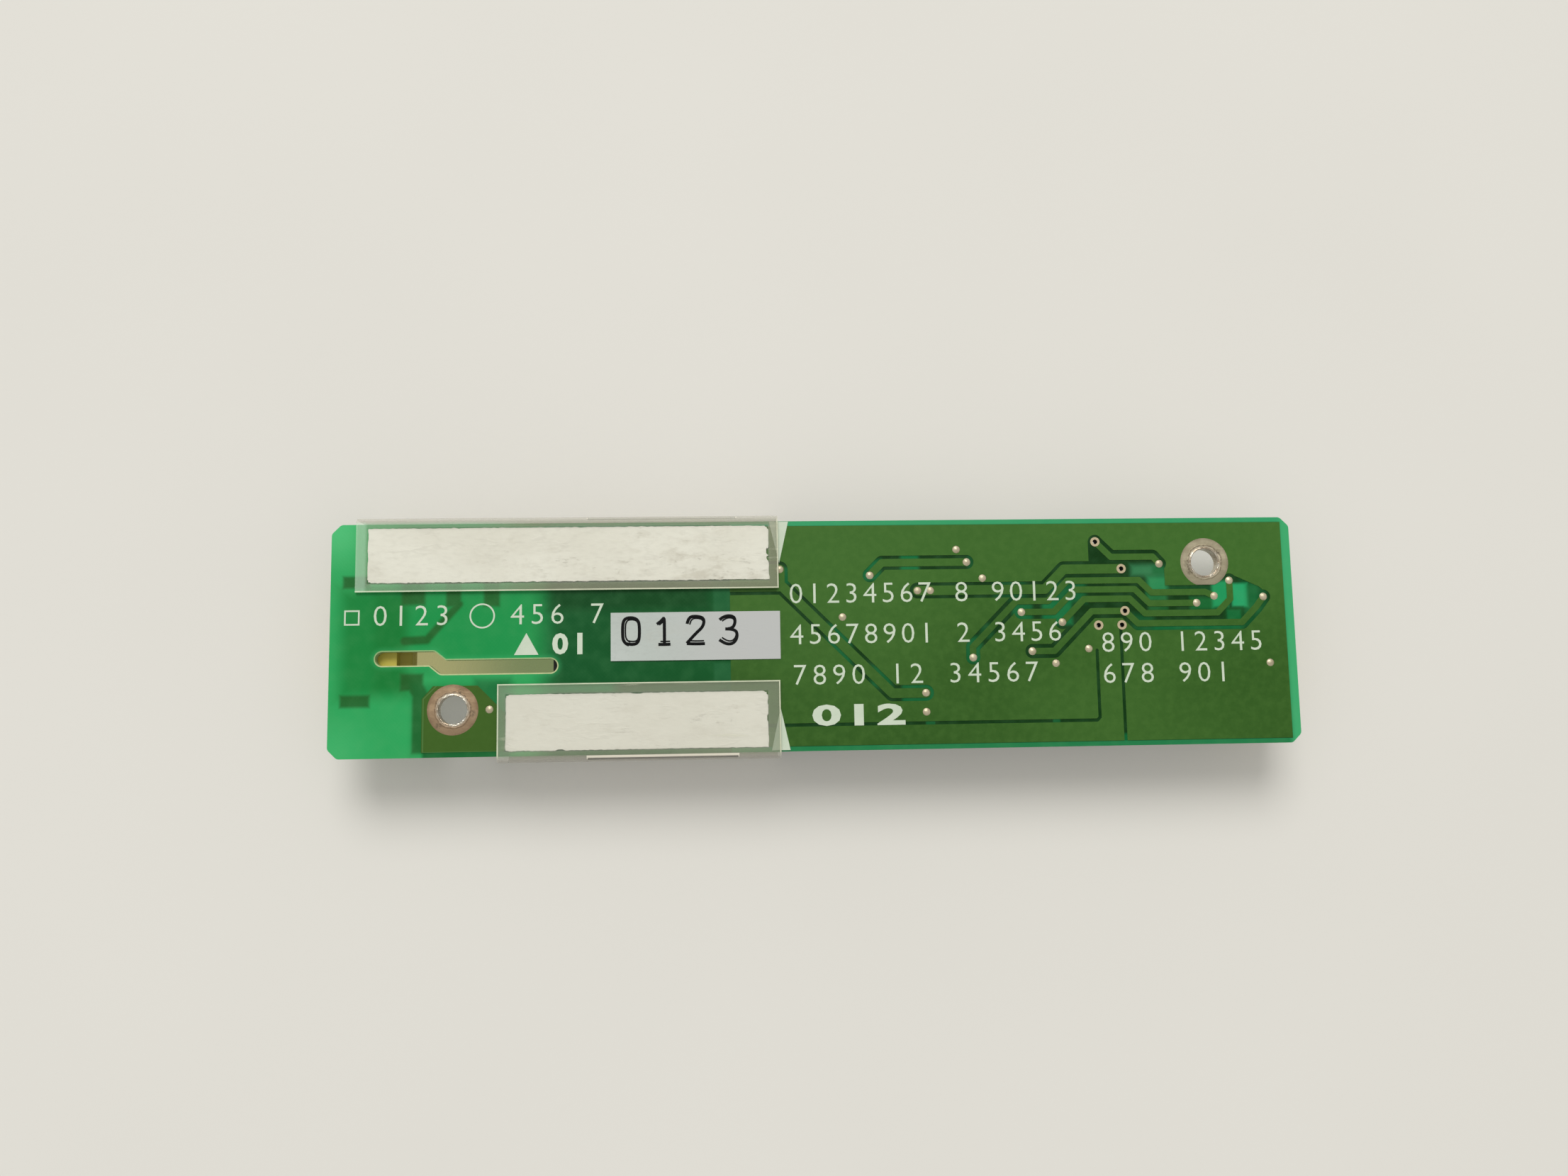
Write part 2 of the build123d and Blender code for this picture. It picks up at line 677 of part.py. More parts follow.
def choke_parts():
    """Drum core, its coil, and the moulded base plate with two terminals."""
    seat = on_place(choke_place)
    top = copper + choke_base
    r = choke_radius
    core = turned([(0, top), (r, top), (r, top + choke_flange), (choke_hub, top + choke_flange),
                   (choke_hub, choke_height - choke_flange), (r, choke_height - choke_flange),
                   (r, choke_height), (0, choke_height)])
    coil = turned([(choke_hub, top + choke_flange), (r - 0.5, top + choke_flange),
                   (r - 0.35, (top + choke_height) / 2), (r - 0.5, choke_height - choke_flange),
                   (choke_hub, choke_height - choke_flange)])
    x, y = spot(choke_place)
    base = hang(x, y, 2 * r, 2 * r, copper, top)
    base = chamfer(base.edges().filter_by(Axis.Z), 1.4)
    pins = [hang(x + side * (r + 0.15), y, 0.3, 2.4, copper, top + 0.4) for side in (-1, 1)]
    return seat * core, seat * coil, base, pins


def capped_block(place, size, turn, cap, body_inset=0.0):
    """A rectangular part with a metal cap at each end, long side along X before turning."""
    length, width, height = size
    body = hang(0, 0, length - 2 * cap, width - body_inset, copper + body_inset, height - body_inset)
    caps = [hang(side * (length - cap) / 2, 0, cap, width, copper, height) for side in (-1, 1)]
    seat = Pos(*spot(place), 0) * Rot(0, 0, turn)
    return seat * body, [seat * piece for piece in caps]


# Small chip parts: x, y and turn.
resistor_places = [
    (4.6, 10.4, 0), (7.8, 10.4, 0), (11.0, 10.4, 0), (8.2, 8.2, 0), (20.4, 0.4, 90), (24.6, -0.2, 90),
    (28.2, 2.2, 90), (30.4, 4.8, 0), (30.4, 7.0, 0), (27.6, 9.4, 0), (34.6, 10.4, 0), (36.0, 1.0, 0),
    (33.4, -1.8, 0), (33.7, -4.4, 90), (33.4, -9.0, 90), (43.9, -9.6, 90), (42.7, -4.0, 90),
]
capacitor_places = [
    (6.9, -1.8, 90), (3.6, -0.8, 90), (12.6, -10.6, 0), (14.4, 7.0, 0), (25.6, -11.3, 0),
    (20.4, -3.2, 0), (33.4, -11.0, 0), (28.6, 6.0, 90), (40.4, -11.2, 0), (34.0, 4.4, 90),
]


def chips(places, size):
    bodies, caps = [], []
    for x, y, turn in places:
        body, ends = capped_block((x, y), size, turn, chip_end, 0.04)
        bodies.append(body)
        caps += ends
    return bodies, caps


# ---------------------------------------------------------------- everything together
resonator, resonator_ends = capped_block(resonator_place, resonator_size, 0, end_cap, 0.06)
ballasts = [capped_block(place, ballast_size, 90, end_cap, 0.06) for place in ballast_places]
fuse, fuse_ends = capped_block(fuse_place, fuse_size, 0, 1.1, 0.1)
resistor_bodies, resistor_ends = chips(resistor_places, resistor_size)
capacitor_bodies, capacitor_ends = chips(capacitor_places, capacitor_size)
choke_core, choke_coil, choke_base_plate, choke_pins = choke_parts()
small_packages = [*transistors, control_chip, regulator_chip, sense_chip, diode]


def feet():
    """Every metal foot that stands on the board."""
    standing = transformer_pins() + lamp_connector_pins() + lamp_connector_tabs()
    standing += input_connector_pins() + input_connector_tabs()
    for _, leads in small_packages:
        standing += leads
    for place in can_places:
        standing += filter_leads(place)
    for _, ends in ballasts:
        standing += ends
    return standing + choke_pins + resonator_ends + fuse_ends + resistor_ends + capacitor_ends


def pad_face(margin):
    """The pads on the component side, a rectangle under each foot, grown by margin."""
    sole = Pos(0, 0, board_under - copper - 0.05) * Box(board_length, board_width, 0.08)
    face = Sketch()
    for foot in feet():
        box = (foot & sole).bounding_box()
        middle = Pos((box.min.X + box.max.X) / 2, (box.min.Y + box.max.Y) / 2)
        face += middle * Rectangle(box.size.X + 2 * margin, box.size.Y + 2 * margin)
    return face


def via_faces(margin=0):
    return discs(filled_vias, via_pad + margin) + discs(open_vias, open_via_pad + margin)


def solder_pads():
    """The bare, tinned pads on the component side."""
    return cut_out(pad_face(pad_margin) - via_faces(), board_under - copper, copper)


def component_copper():
    """The copper under the solder mask on the component side."""
    top = half_width - pour_margin
    right = half_length - pour_end_margin
    left = along(component_pour_left)
    face = Pos((left + right) / 2, 0) * Rectangle(right - left, 2 * top)
    x, y = left_mount
    patch = Polyline(
        (x - 4.15, -top), (x - 4.15, -6.9), (x - 5.55, -5.5), (x - 5.55, -3.7), (x - 3.15, -3.7),
        (x - 3.15, -5.5), (x - 2.1, y + 2.65), (x + 2.6, y + 2.65), (x + 5.5, y - 0.4), (x + 5.5, -top),
        (x - 4.15, -top),
    )
    for width, points in component_tracks:
        face -= strip(points, width + 2 * gap)
    face -= pad_face(pad_margin + gap) + via_faces(gap)
    for place in (left_mount, right_mount):
        face -= discs([place], mount_pad_radius + gap)
    for width, points in component_tracks:
        face += strip(points, width)
    for low, high in ballast_lands:
        face += slab(low, high)
    face += make_face(patch)
    face -= pad_face(pad_margin) + via_faces() + discs([left_mount, right_mount], mount_pad_radius)
    return cut_out(face, board_under - copper, copper)


nodes = {
    "circuit_board": circuit_board(),
    "solder_side_copper": back_copper(),
    "component_side_copper": component_copper(),
    "component_side_pads": solder_pads(),
    "mounting_ring_lamp_end": mounting_ring(left_mount),
    "mounting_ring_input_end": mounting_ring(right_mount, right_pad_flat),
    "filled_vias": group([Pos(*place, 0) * filled_via() for place in filled_vias]),
    "open_vias": group([Pos(*place, 0) * open_via() for place in open_vias]),
    "insulation_film": insulation_film(),
    "upper_flap_tape": sheet(tape_upper, tape),
    "lower_flap_tape": sheet(tape_lower, tape),
    "lot_label": sheet(label_corners, label),
    "transformer_core_lamp_end": transformer_core(-1),
    "transformer_core_input_end": transformer_core(1),
    "transformer_bobbin": transformer_bobbin(),
    "transformer_secondary_winding": secondary_winding(),
    "transformer_primary_winding": primary_winding(),
    "transformer_wrap": transformer_wrap(),
    "transformer_pins": group(transformer_pins()),
    "lamp_connector_housing": lamp_connector_housing(),
    "lamp_connector_pins": group(lamp_connector_pins()),
    "lamp_connector_tabs": group(lamp_connector_tabs()),
    "ballast_capacitor_bodies": group([body for body, _ in ballasts]),
    "ballast_capacitor_ends": group([end for _, ends in ballasts for end in ends]),
    "resonance_capacitor_body": resonator,
    "resonance_capacitor_ends": group(resonator_ends),
    "switching_transistor_bodies": group([body for body, _ in transistors]),
    "switching_transistor_leads": group([lead for _, leads in transistors for lead in leads]),
    "control_chip_body": control_chip[0],
    "control_chip_leads": group(control_chip[1]),
    "regulator_chip_body": regulator_chip[0],
    "regulator_chip_leads": group(regulator_chip[1]),
    "sense_chip_body": sense_chip[0],
    "sense_chip_leads": group(sense_chip[1]),
    "diode_body": diode[0],
    "diode_leads": group(diode[1]),
    "choke_core": choke_core,
    "choke_winding": choke_coil,
    "choke_base": choke_base_plate,
    "choke_terminals": group(choke_pins),
    "filter_capacitor_cans": group([filter_can(place) for place in can_places]),
    "filter_capacitor_bases": group([filter_base(place) for place in can_places]),
    "filter_capacitor_leads": group([lead for place in can_places for lead in filter_leads(place)]),
    "fuse_body": fuse,
    "fuse_ends": group(fuse_ends),
    "chip_resistor_bodies": group(resistor_bodies),
    "chip_resistor_ends": group(resistor_ends),
    "chip_capacitor_bodies": group(capacitor_bodies),
    "chip_capacitor_ends": group(capacitor_ends),
    "input_connector_housing": input_connector_housing(),
    "input_connector_pins": group(input_connector_pins()),
    "input_connector_tabs": group(input_connector_tabs()),
}

os.makedirs("parts", exist_ok=True)
for name, shape in nodes.items():
    export_step(shape, f"parts/{name}.step")
print(len(nodes), "nodes")
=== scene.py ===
# %% [markdown]
# # A backlight inverter board
#
# The part is a long, narrow circuit board that lies solder side up. Green solder mask covers it, a
# clear film is folded round its left half, and white print, solder domes and two plated screw holes
# are what catches the eye. Blender's lengths are metres in the part's own frame: X runs along the
# board, Y across it and Z out of the solder side. Most numbers in the script are millimetres, and
# MM turns them into metres.
#
# The first cell loads the CAD model and measures it.

# %% Load the frame
import math

import bpy
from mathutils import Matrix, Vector


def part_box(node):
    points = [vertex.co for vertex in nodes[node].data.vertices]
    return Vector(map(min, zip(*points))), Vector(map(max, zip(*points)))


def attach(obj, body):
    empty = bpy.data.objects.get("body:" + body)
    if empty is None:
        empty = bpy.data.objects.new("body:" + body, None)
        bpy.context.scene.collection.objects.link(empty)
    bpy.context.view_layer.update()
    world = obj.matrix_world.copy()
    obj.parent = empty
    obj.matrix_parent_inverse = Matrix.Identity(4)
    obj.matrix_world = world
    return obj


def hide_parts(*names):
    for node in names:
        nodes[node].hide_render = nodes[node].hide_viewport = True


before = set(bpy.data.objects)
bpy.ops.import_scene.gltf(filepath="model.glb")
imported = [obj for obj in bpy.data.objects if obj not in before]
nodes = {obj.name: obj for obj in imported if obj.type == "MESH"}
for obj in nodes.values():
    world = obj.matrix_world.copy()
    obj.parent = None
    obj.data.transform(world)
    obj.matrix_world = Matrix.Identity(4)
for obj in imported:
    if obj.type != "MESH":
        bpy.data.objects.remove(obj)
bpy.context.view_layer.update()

MM = 0.001
board_under, board_top = (corner.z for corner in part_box("circuit_board"))
pour_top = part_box("solder_side_copper")[1].z
print(f"board from {board_under / MM:.2f} to {board_top / MM:.2f} mm, copper to {pour_top / MM:.2f} mm")

# %% [markdown]
# ## Small helpers
#
# Blender's operators work on whatever is selected, and the import leaves the CAD pieces selected.
# So every step starts by letting go of everything, and then takes hold of one piece. The same few
# moves come back all through the script, so each is a function: open a piece in edit mode, merge a
# copy of a CAD piece, give an open sheet a wall, and dress a finished piece.


# %% Handling pieces
def let_go():
    """Nothing is selected any more."""
    if bpy.context.object and bpy.context.object.mode != "OBJECT":
        bpy.ops.object.mode_set(mode="OBJECT")
    bpy.ops.object.select_all(action="DESELECT")


def take(piece):
    """Only this piece is selected and active."""
    let_go()
    piece.select_set(True)
    bpy.context.view_layer.objects.active = piece
    return piece


def settle(piece, name):
    """The piece gets its name, and its place moves into its mesh, so that its object sits at the origin."""
    take(piece)
    bpy.ops.object.transform_apply(location=True, rotation=True, scale=True)
    piece.name = name
    piece.data.name = name
    return piece


def join(pieces, name):
    """Several pieces become one mesh."""
    take(pieces[0])
    for piece in pieces:
        piece.select_set(True)
    bpy.ops.object.join()
    return settle(bpy.context.object, name)


def open_up(piece):
    """The piece is in edit mode, with its whole mesh selected."""
    take(piece)
    bpy.ops.object.mode_set(mode="EDIT")
    bpy.ops.mesh.select_all(action="SELECT")


def shut():
    """Back to object mode, with the mesh as it was edited."""
    bpy.ops.object.mode_set(mode="OBJECT")


def merged_copy(node, name):
    """A copy of a CAD piece, opened up, with its loose triangles merged at their corners."""
    piece = bpy.data.objects.new(name, nodes[node].data.copy())
    bpy.context.collection.objects.link(piece)
    open_up(piece)
    bpy.ops.mesh.remove_doubles(threshold=0.002 * MM)
    return piece


def thicken(piece, thickness, side):
    """Solidify gives the active, open sheet a wall: outwards where side is 1, inwards where it is -1."""
    wall = piece.modifiers.new("wall", "SOLIDIFY")
    wall.thickness, wall.offset = thickness * MM, side
    bpy.ops.object.modifier_apply(modifier="wall")


def dress(piece, finish):
    """The piece gets its finish and rides on the board."""
    piece.data.materials.clear()
    piece.data.materials.append(finish)
    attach(piece, "root")
    return piece


print("helpers ready")

# %% [markdown]
# ## The camera
#
# The board is seen from almost straight above, from a little to the left of its middle and a little
# towards its near edge. A lens of about 30 mm on a 36 mm sensor gives the slight perspective: the two
# ends of the board are seen a little from inside, so the far walls of the holes show.

# %% Camera
bpy.ops.object.camera_add(
    location=(-11.75 * MM, -11.81 * MM, 149.63 * MM),
    rotation=tuple(math.radians(a) for a in (6.883, -3.013, -1.006)),
)
camera = bpy.context.object
camera.data.sensor_width = 36
camera.data.lens = 30.11
camera.data.clip_start = 0.005
camera.data.clip_end = 10
bpy.context.scene.camera = camera
bpy.context.scene.view_settings.view_transform = "Standard"
print(f"camera {camera.location.z / MM:.0f} mm above the floor")

# %% [markdown]
# ## Writing a finish
#
# A finish is a tree of shader nodes. Written node by node it is long, so three small classes help.
# `Amount` wraps the output of a node that gives one number, and lets Python's `+`, `*` and `-` add
# the Math nodes. `Tree` adds any other node with one method. `Finish` is the tree of one material:
# it mixes colours, makes noise, and draws soft rectangles, discs and lines over the board's plan.


# %% Numbers that vary
class Amount:
    """A number that varies over a surface."""

    def __init__(self, finish, socket):
        self.finish, self.socket = finish, socket

    def math(self, operation, *others, clamp=False):
        values = {0: self.socket}
        for n, other in enumerate(others, 1):
            values[n] = other.socket if isinstance(other, Amount) else other
        node = self.finish.node("ShaderNodeMath", {"operation": operation, "use_clamp": clamp}, values)
        return Amount(self.finish, node.outputs[0])

    def __add__(self, other):
        return self.math("ADD", other)

    __radd__ = __add__

    def __mul__(self, other):
        return self.math("MULTIPLY", other)

    __rmul__ = __mul__

    def __sub__(self, other):
        return self.math("SUBTRACT", other)

    def __rsub__(self, other):
        return (self * -1.0) + other

    def __abs__(self):
        return self.math("ABSOLUTE")

    def over(self, other):
        return self.math("MAXIMUM", other)

    def under(self, other):
        return self.math("MINIMUM", other)

    def clamped(self):
        return self.math("ADD", 0.0, clamp=True)

    def rises(self, start, end):
        """0 up to start, 1 from end on, and smooth between."""
        node = self.finish.node(
            "ShaderNodeMapRange",
            {"interpolation_type": "SMOOTHSTEP"},
            {"Value": self.socket, "From Min": start, "From Max": end, "To Min": 0.0, "To Max": 1.0},
        )
        return Amount(self.finish, node.outputs["Result"])


def length(dx, dy):
    """How far a point lies from another, from its two offsets."""
    return (dx * dx + dy * dy).math("SQRT")


def any_of(mask, *others):
    """1 wherever one of the masks is 1."""
    for other in others:
        mask = mask.over(other)
    return mask


print("arithmetic ready")


# %% Colours
def paint(red, green, blue):
    """A colour as it is seen, from 0 to 255, as the linear colour that a shader wants."""
    seen = (red / 255, green / 255, blue / 255)
    return (*[c / 12.92 if c <= 0.04045 else ((c + 0.055) / 1.055) ** 2.4 for c in seen], 1.0)


def toned(colour, *shares):
    """A seen colour made darker or paler, by one share for all or one each for red, green and blue."""
    shares = shares * 3 if len(shares) == 1 else shares
    return paint(*[min(255, c * share) for c, share in zip(colour, shares)])


GLOSS = 0.014  # the share of a white room that a glossy coat sends back


def coated(red, green, blue):
    """The colour below a glossy coat, less what the coat itself sends back."""
    return (*[max(0.0, c - GLOSS) for c in paint(red, green, blue)[:3]], 1.0)


print("mid grey is", [round(c, 3) for c in paint(128, 128, 128)[:3]], "to a shader")


# %% Trees of nodes
class Tree:
    """The nodes of a material or of the world, emptied first."""

    def __init__(self, owner):
        owner.use_nodes = True
        self.tree = owner.node_tree
        self.tree.nodes.clear()

    def node(self, kind, settings=None, values=None):
        """A node of this kind. Its settings come first, because some of them change its sockets."""
        node = self.tree.nodes.new(kind)
        for key, value in (settings or {}).items():
            setattr(node, key, value)
        for key, value in (values or {}).items():
            value = value.socket if isinstance(value, Amount) else value
            if isinstance(value, bpy.types.NodeSocket):
                self.tree.links.new(value, node.inputs[key])
            else:
                node.inputs[key].default_value = value
        return node


class Finish(Tree):
    """One material, and what its pattern is built from. Lengths are in millimetres."""

    def __init__(self, name):
        self.material = bpy.data.materials.new(name)
        super().__init__(self.material)
        self.place = self.node("ShaderNodeTexCoord").outputs["Object"]
        parts = self.node("ShaderNodeSeparateXYZ", {}, {0: self.place})
        self.x, self.y, self.z = (Amount(self, out) * 1000.0 for out in parts.outputs)

    def mix(self, factor, first, second):
        """The first colour where factor is 0, the second where it is 1."""
        settings = {"data_type": "RGBA", "clamp_factor": True}
        return self.node("ShaderNodeMix", settings, {0: factor, 6: first, 7: second}).outputs[2]

    def scaled(self, size, stretch, shift):
        """The place on the piece, in steps of this size, shifted to another part of a pattern."""
        scale = [s * 1000.0 / size for s in stretch]
        return self.node(
            "ShaderNodeMapping", {}, {"Vector": self.place, "Scale": scale, "Location": (*shift, 0)}
        ).outputs[0]

    def noise(self, size, detail=3.0, rough=0.5, stretch=(1, 1, 1), seed=0.0):
        """Soft noise between 0 and 1, with blotches about this large."""
        place = self.scaled(size, stretch, (seed, seed * 0.7))
        values = {"Vector": place, "Scale": 1.0, "Detail": detail, "Roughness": rough}
        return Amount(self, self.node("ShaderNodeTexNoise", {}, values).outputs[0])

    def specks(self, spacing, size, seed):
        """Small round specks: 1 inside, 0 outside, some of the cells left empty."""
        place = self.scaled(spacing, (1, 1, 1), (seed, seed))
        cells = self.node("ShaderNodeTexVoronoi", {}, {"Vector": place, "Scale": 1.0})
        chosen = self.node("ShaderNodeSeparateColor", {}, {0: cells.outputs["Color"]}).outputs[0]
        reach = Amount(self, chosen) * (size / spacing)
        return (reach - Amount(self, cells.outputs["Distance"])).rises(0.0, 0.12)

    def bump(self, height, depth):
        """A normal from a height that runs from 0 to 1, where 1 stands this deep."""
        values = {"Height": height, "Distance": depth * MM, "Strength": 1.0}
        return self.node("ShaderNodeBump", {}, values).outputs[0]

    def upward(self):
        """Which way the surface faces: 1 straight up, 0 sideways, -1 straight down."""
        normal = self.node("ShaderNodeTexCoord").outputs["Normal"]
        return Amount(self, self.node("ShaderNodeSeparateXYZ", {}, {0: normal}).outputs[2])

    def edge(self):
        """1 on the upright faces, where a sheet was cut."""
        return 1 - abs(self.upward()).rises(0.3, 0.7)

    def box(self, low, high, soft=0.3):
        """1 inside a rectangle seen from above, with edges this soft."""
        middle = [(a + b) / 2 for a, b in zip(low, high)]
        half = [(b - a) / 2 for a, b in zip(low, high)]
        outside = (abs(self.x - middle[0]) - half[0]).over(abs(self.y - middle[1]) - half[1])
        return (outside * -1.0).rises(-soft / 2, soft / 2)

    def disc(self, centre, radius, soft=0.2):
        """1 inside a circle seen from above."""
        away = length(self.x - centre[0], self.y - centre[1])
        return (radius - away).rises(-soft / 2, soft / 2)

    def line(self, start, end, width, soft=0.3):
        """1 along a straight track seen from above."""
        dx, dy = end[0] - start[0], end[1] - start[1]
        square = dx * dx + dy * dy
        px, py = self.x - start[0], self.y - start[1]
        along = ((px * dx + py * dy) * (1.0 / square)).clamped()
        away = length(px - along * dx, py - along * dy)
        return (width / 2 - away).rises(-soft / 2, soft / 2)

    def path(self, points, width, soft):
        """1 along a track of straight runs from point to point."""
        return any_of(*[self.line(start, end, width, soft) for start, end in zip(points, points[1:])])

    def tinted(self, colour, rows):
        """Each row tints one soft rectangle: two corners, softness, share and the coated tint."""
        for low, high, soft, share, tint in rows:
            colour = self.mix(self.box(low, high, soft) * share, colour, coated(*tint))
        return colour

    def principled(self, **values):
        """The Principled shader, with sockets named in Python's way."""
        named = {key.replace("_", " ").title().replace("Ior", "IOR"): value for key, value in values.items()}
        return self.node("ShaderNodeBsdfPrincipled", {}, named).outputs[0]

    def output(self, shader):
        """The finished material, with this shader on its surface."""
        self.node("ShaderNodeOutputMaterial", {}, {"Surface": shader})
        return self.material

    def surface(self, **values):
        """The finished material, with the Principled shader on its surface."""
        return self.output(self.principled(**values))


print("shader helpers ready")

# %% [markdown]
# ## Green laminate
#
# The board is glass-epoxy under green solder mask, and light comes through it. Where nothing lies
# below, it glows bright green; over the transformer it is dark; and the pads and parts on the far
# side show as soft shadows. The real light would have to scatter inside the sheet, which is slow and
# noisy, so the glow is written as masks with soft edges over the board's plan instead. A cut edge
# has no mask on it and shows the pale yellow-green of the bare glass-epoxy.


# %% Laminate finish
def green_laminate():
    f = Finish("green_laminate")
    grain = f.noise(1.6, detail=4.0)
    clouds = f.noise(14.0, detail=2.0, seed=3.0)
    colour = f.mix(clouds, coated(44, 152, 84), coated(58, 166, 97))
    # the corners and the open end glow most
    for corner, share in (((-52, 12), 0.85), ((-52, -12), 0.4), ((52, 12), 0.5), ((52, -12), 0.5)):
        colour = f.mix(f.disc(corner, 3.0, 6.0) * share, colour, coated(84, 190, 122))
    # painted shade: the lamp connector's shadow, and a dimmer land between it and the transformer
    colour = f.tinted(colour, [
        ((-51.4, -6.0), (-44.2, 5.4), 2.4, 0.75, (22, 116, 52)),
        ((-47.8, -5.4), (-44.0, 5.0), 1.6, 0.35, (20, 104, 44)),
        ((-44.0, -3.6), (-29.6, 4.6), 2.0, 0.7, (34, 136, 70)),
        ((-45.5, 4.6), (-30.0, 13.5), 2.0, 0.6, (28, 112, 58)),
    ])
    # painted shadows of the copper tracks and lands on the far side
    far_copper_shadow = any_of(
        f.box((-51.2, 5.6), (-48.3, 6.9), 0.5),
        f.box((-51.3, -7.1), (-48.2, -5.8), 0.5),
        f.box((-45.0, 3.75), (-42.5, 6.5), 0.6),
        f.box((-40.3, 3.5), (-38.7, 6.5), 0.5),
        f.box((-36.3, 3.5), (-34.6, 6.5), 0.5),
        f.line((-44.6, -0.1), (-42.3, 0.0), 0.9, 0.45),
        f.line((-42.3, 0.0), (-38.9, 3.8), 0.8, 0.45),
        f.box((-45.0, -5.4), (-42.6, -3.6), 0.5),
        f.line((-43.6, -4.6), (-42.6, -6.4), 1.6, 0.5),
        f.box((-43.7, -12.0), (-41.5, -5.6), 0.45),
    )
    colour = f.mix(far_copper_shadow * 0.8, colour, coated(44, 84, 40))
    # painted shadow: the copper patch round the lamp-end hole has its twin on the far side, a little larger,
    # and its shadow shows round the patch
    colour = f.tinted(colour, [
        ((-43.8, -12.3), (-33.0, -4.7), 1.1, 0.4, (24, 100, 52)),
        ((-37.2, -8.5), (-33.4, -4.2), 1.2, 0.6, (34, 92, 52)),
        ((-42.6, -12.8), (-33.4, -11.8), 0.5, 0.75, (24, 76, 40)),
    ])
    # painted shade: it is dark over the transformer, which blocks the light from below, and darkest beside
    # the upper flap
    under_core = f.x.rises(-31.8, -28.0)
    colour = f.mix(under_core * 0.94, colour, f.mix(clouds, coated(28, 74, 38), coated(32, 82, 47)))
    colour = f.tinted(colour, [((-29.5, 3.0), (-12.2, 6.0), 1.6, 0.55, (24, 62, 34))])
    # the long upper edge faces the light, and glows through the film
    colour = f.mix(f.y.rises(11.9, 12.3) * under_core * 0.85, colour, coated(58, 152, 102))
    # painted light: light comes through a gap between the parts below, so a lighter strip is left before the
    # copper starts
    gap = any_of(f.box((-11.7, 2.5), (-9.7, 5.6), 0.4), f.box((-11.7, -5.6), (-9.7, -2.9), 0.4))
    colour = f.mix(gap * 0.5, colour, coated(48, 104, 66))
    # under the copper pour only the isolation lines show, in painted shade: dark where both sides are covered
    # and no light gets through
    covered = f.x.rises(-9.95, -9.8)
    colour = f.mix(covered * 0.95, colour, coated(20, 58, 27))
    # where a line has no copper behind it either, light comes through: (low, high, softness, share)
    passing = [
        ((8.8, 6.9), (10.8, 8.7), 0.6, 0.9),
        ((4.5, 5.8), (6.6, 8.2), 0.8, 0.75),
        ((16.2, 6.9), (17.2, 8.9), 0.5, 0.3),
        ((19.0, 3.5), (22.6, 5.8), 1.0, 0.3),
        ((21.0, 1.1), (23.2, 3.2), 0.7, 0.7),
        ((24.3, 0.8), (27.6, 3.4), 0.7, 0.95),
        ((25.4, 3.2), (29.2, 5.4), 1.0, 0.6),
        ((15.5, -3.4), (17.5, -0.4), 0.8, 0.6),
        ((17.4, -0.6), (18.8, 1.0), 0.8, 0.3),
        ((0.5, -3.4), (3.2, 1.2), 0.9, 0.6),
        ((5.2, -5.8), (7.5, -3.4), 0.9, 0.55),
        ((8.6, -7.7), (12.5, -5.0), 0.6, 0.65),
        ((-4.4, 5.6), (-3.3, 7.4), 0.5, 0.6),
        ((36.5, -0.2), (46.6, 0.8), 1.2, 0.75),
        ((34.4, -0.4), (36.6, 1.8), 1.2, 0.4),
        ((11.1, -10.2), (12.1, -9.2), 0.2, 0.5),
        ((25.0, -10.2), (25.8, -9.2), 0.2, 0.5),
        ((32.4, -12.3), (33.5, -11.2), 0.5, 0.7),
        ((46.6, 0.2), (49.6, 5.6), 1.0, 0.35),
        ((38.4, 4.1), (44.0, 4.9), 0.5, 0.2),
    ]
    colour = f.tinted(colour, [(*row, (32, 112, 66)) for row in passing])
    # painted light and shade: the open area by the input-end hole, where green light shows between the parts
    # behind it, and their shadows
    colour = f.tinted(colour, [
        ((34.4, 6.1), (38.3, 7.3), 0.9, 0.6, (70, 146, 98)),
        ((36.8, 6.2), (38.3, 7.1), 0.6, 0.6, (26, 100, 52)),
        ((36.2, 4.3), (38.4, 6.0), 0.9, 0.9, (52, 140, 88)),
        ((36.0, 3.2), (38.3, 4.2), 0.7, 0.6, (50, 128, 74)),
        ((36.2, 2.0), (38.4, 2.9), 0.6, 0.5, (44, 112, 60)),
        ((40.9, 2.2), (43.6, 3.6), 0.9, 0.6, (40, 122, 66)),
        ((43.4, 2.5), (45.2, 5.4), 0.6, 1.0, (42, 148, 92)),
        ((45.6, 2.5), (47.4, 5.1), 0.5, 1.0, (46, 158, 102)),
        ((44.9, 0.9), (46.6, 2.3), 0.6, 0.8, (30, 112, 62)),
        ((47.2, 2.0), (48.6, 5.0), 0.8, 0.6, (36, 110, 62)),
        ((37.4, 7.0), (38.4, 8.0), 0.6, 0.8, (24, 62, 30)),
        ((38.5, 3.3), (39.4, 4.0), 0.3, 0.8, (24, 60, 26)),
        ((39.8, 3.3), (40.7, 4.0), 0.3, 0.8, (24, 60, 26)),
        ((38.5, 2.0), (39.4, 2.8), 0.3, 0.8, (24, 60, 26)),
        ((39.7, 2.0), (40.7, 2.8), 0.3, 0.8, (24, 60, 26)),
    ])
    # and a square land there, with a dark line of painted shade round it
    land_rim = f.box((44.5, 0.6), (46.9, 2.6), 0.3) * (1 - f.box((44.9, 0.9), (46.5, 2.2), 0.3))
    colour = f.mix(land_rim * 0.5, colour, coated(26, 70, 34))
    # the bare margin round the copper, lit from below through the sheet: painted paler towards the upper
    # edge, which faces the light, and at the right end
    margin = (abs(f.y) - 11.95).over(f.x - 51.5).rises(-0.06, 0.1) * covered
    colour = f.mix(margin, colour, f.mix(f.y.rises(-12.5, 12.5), coated(44, 122, 76), coated(60, 154, 103)))
    colour = f.mix(margin * f.x.rises(51.0, 52.0), colour, coated(68, 166, 110))
    colour = f.mix(grain.rises(0.35, 0.75) * 0.06, colour, coated(110, 180, 120))
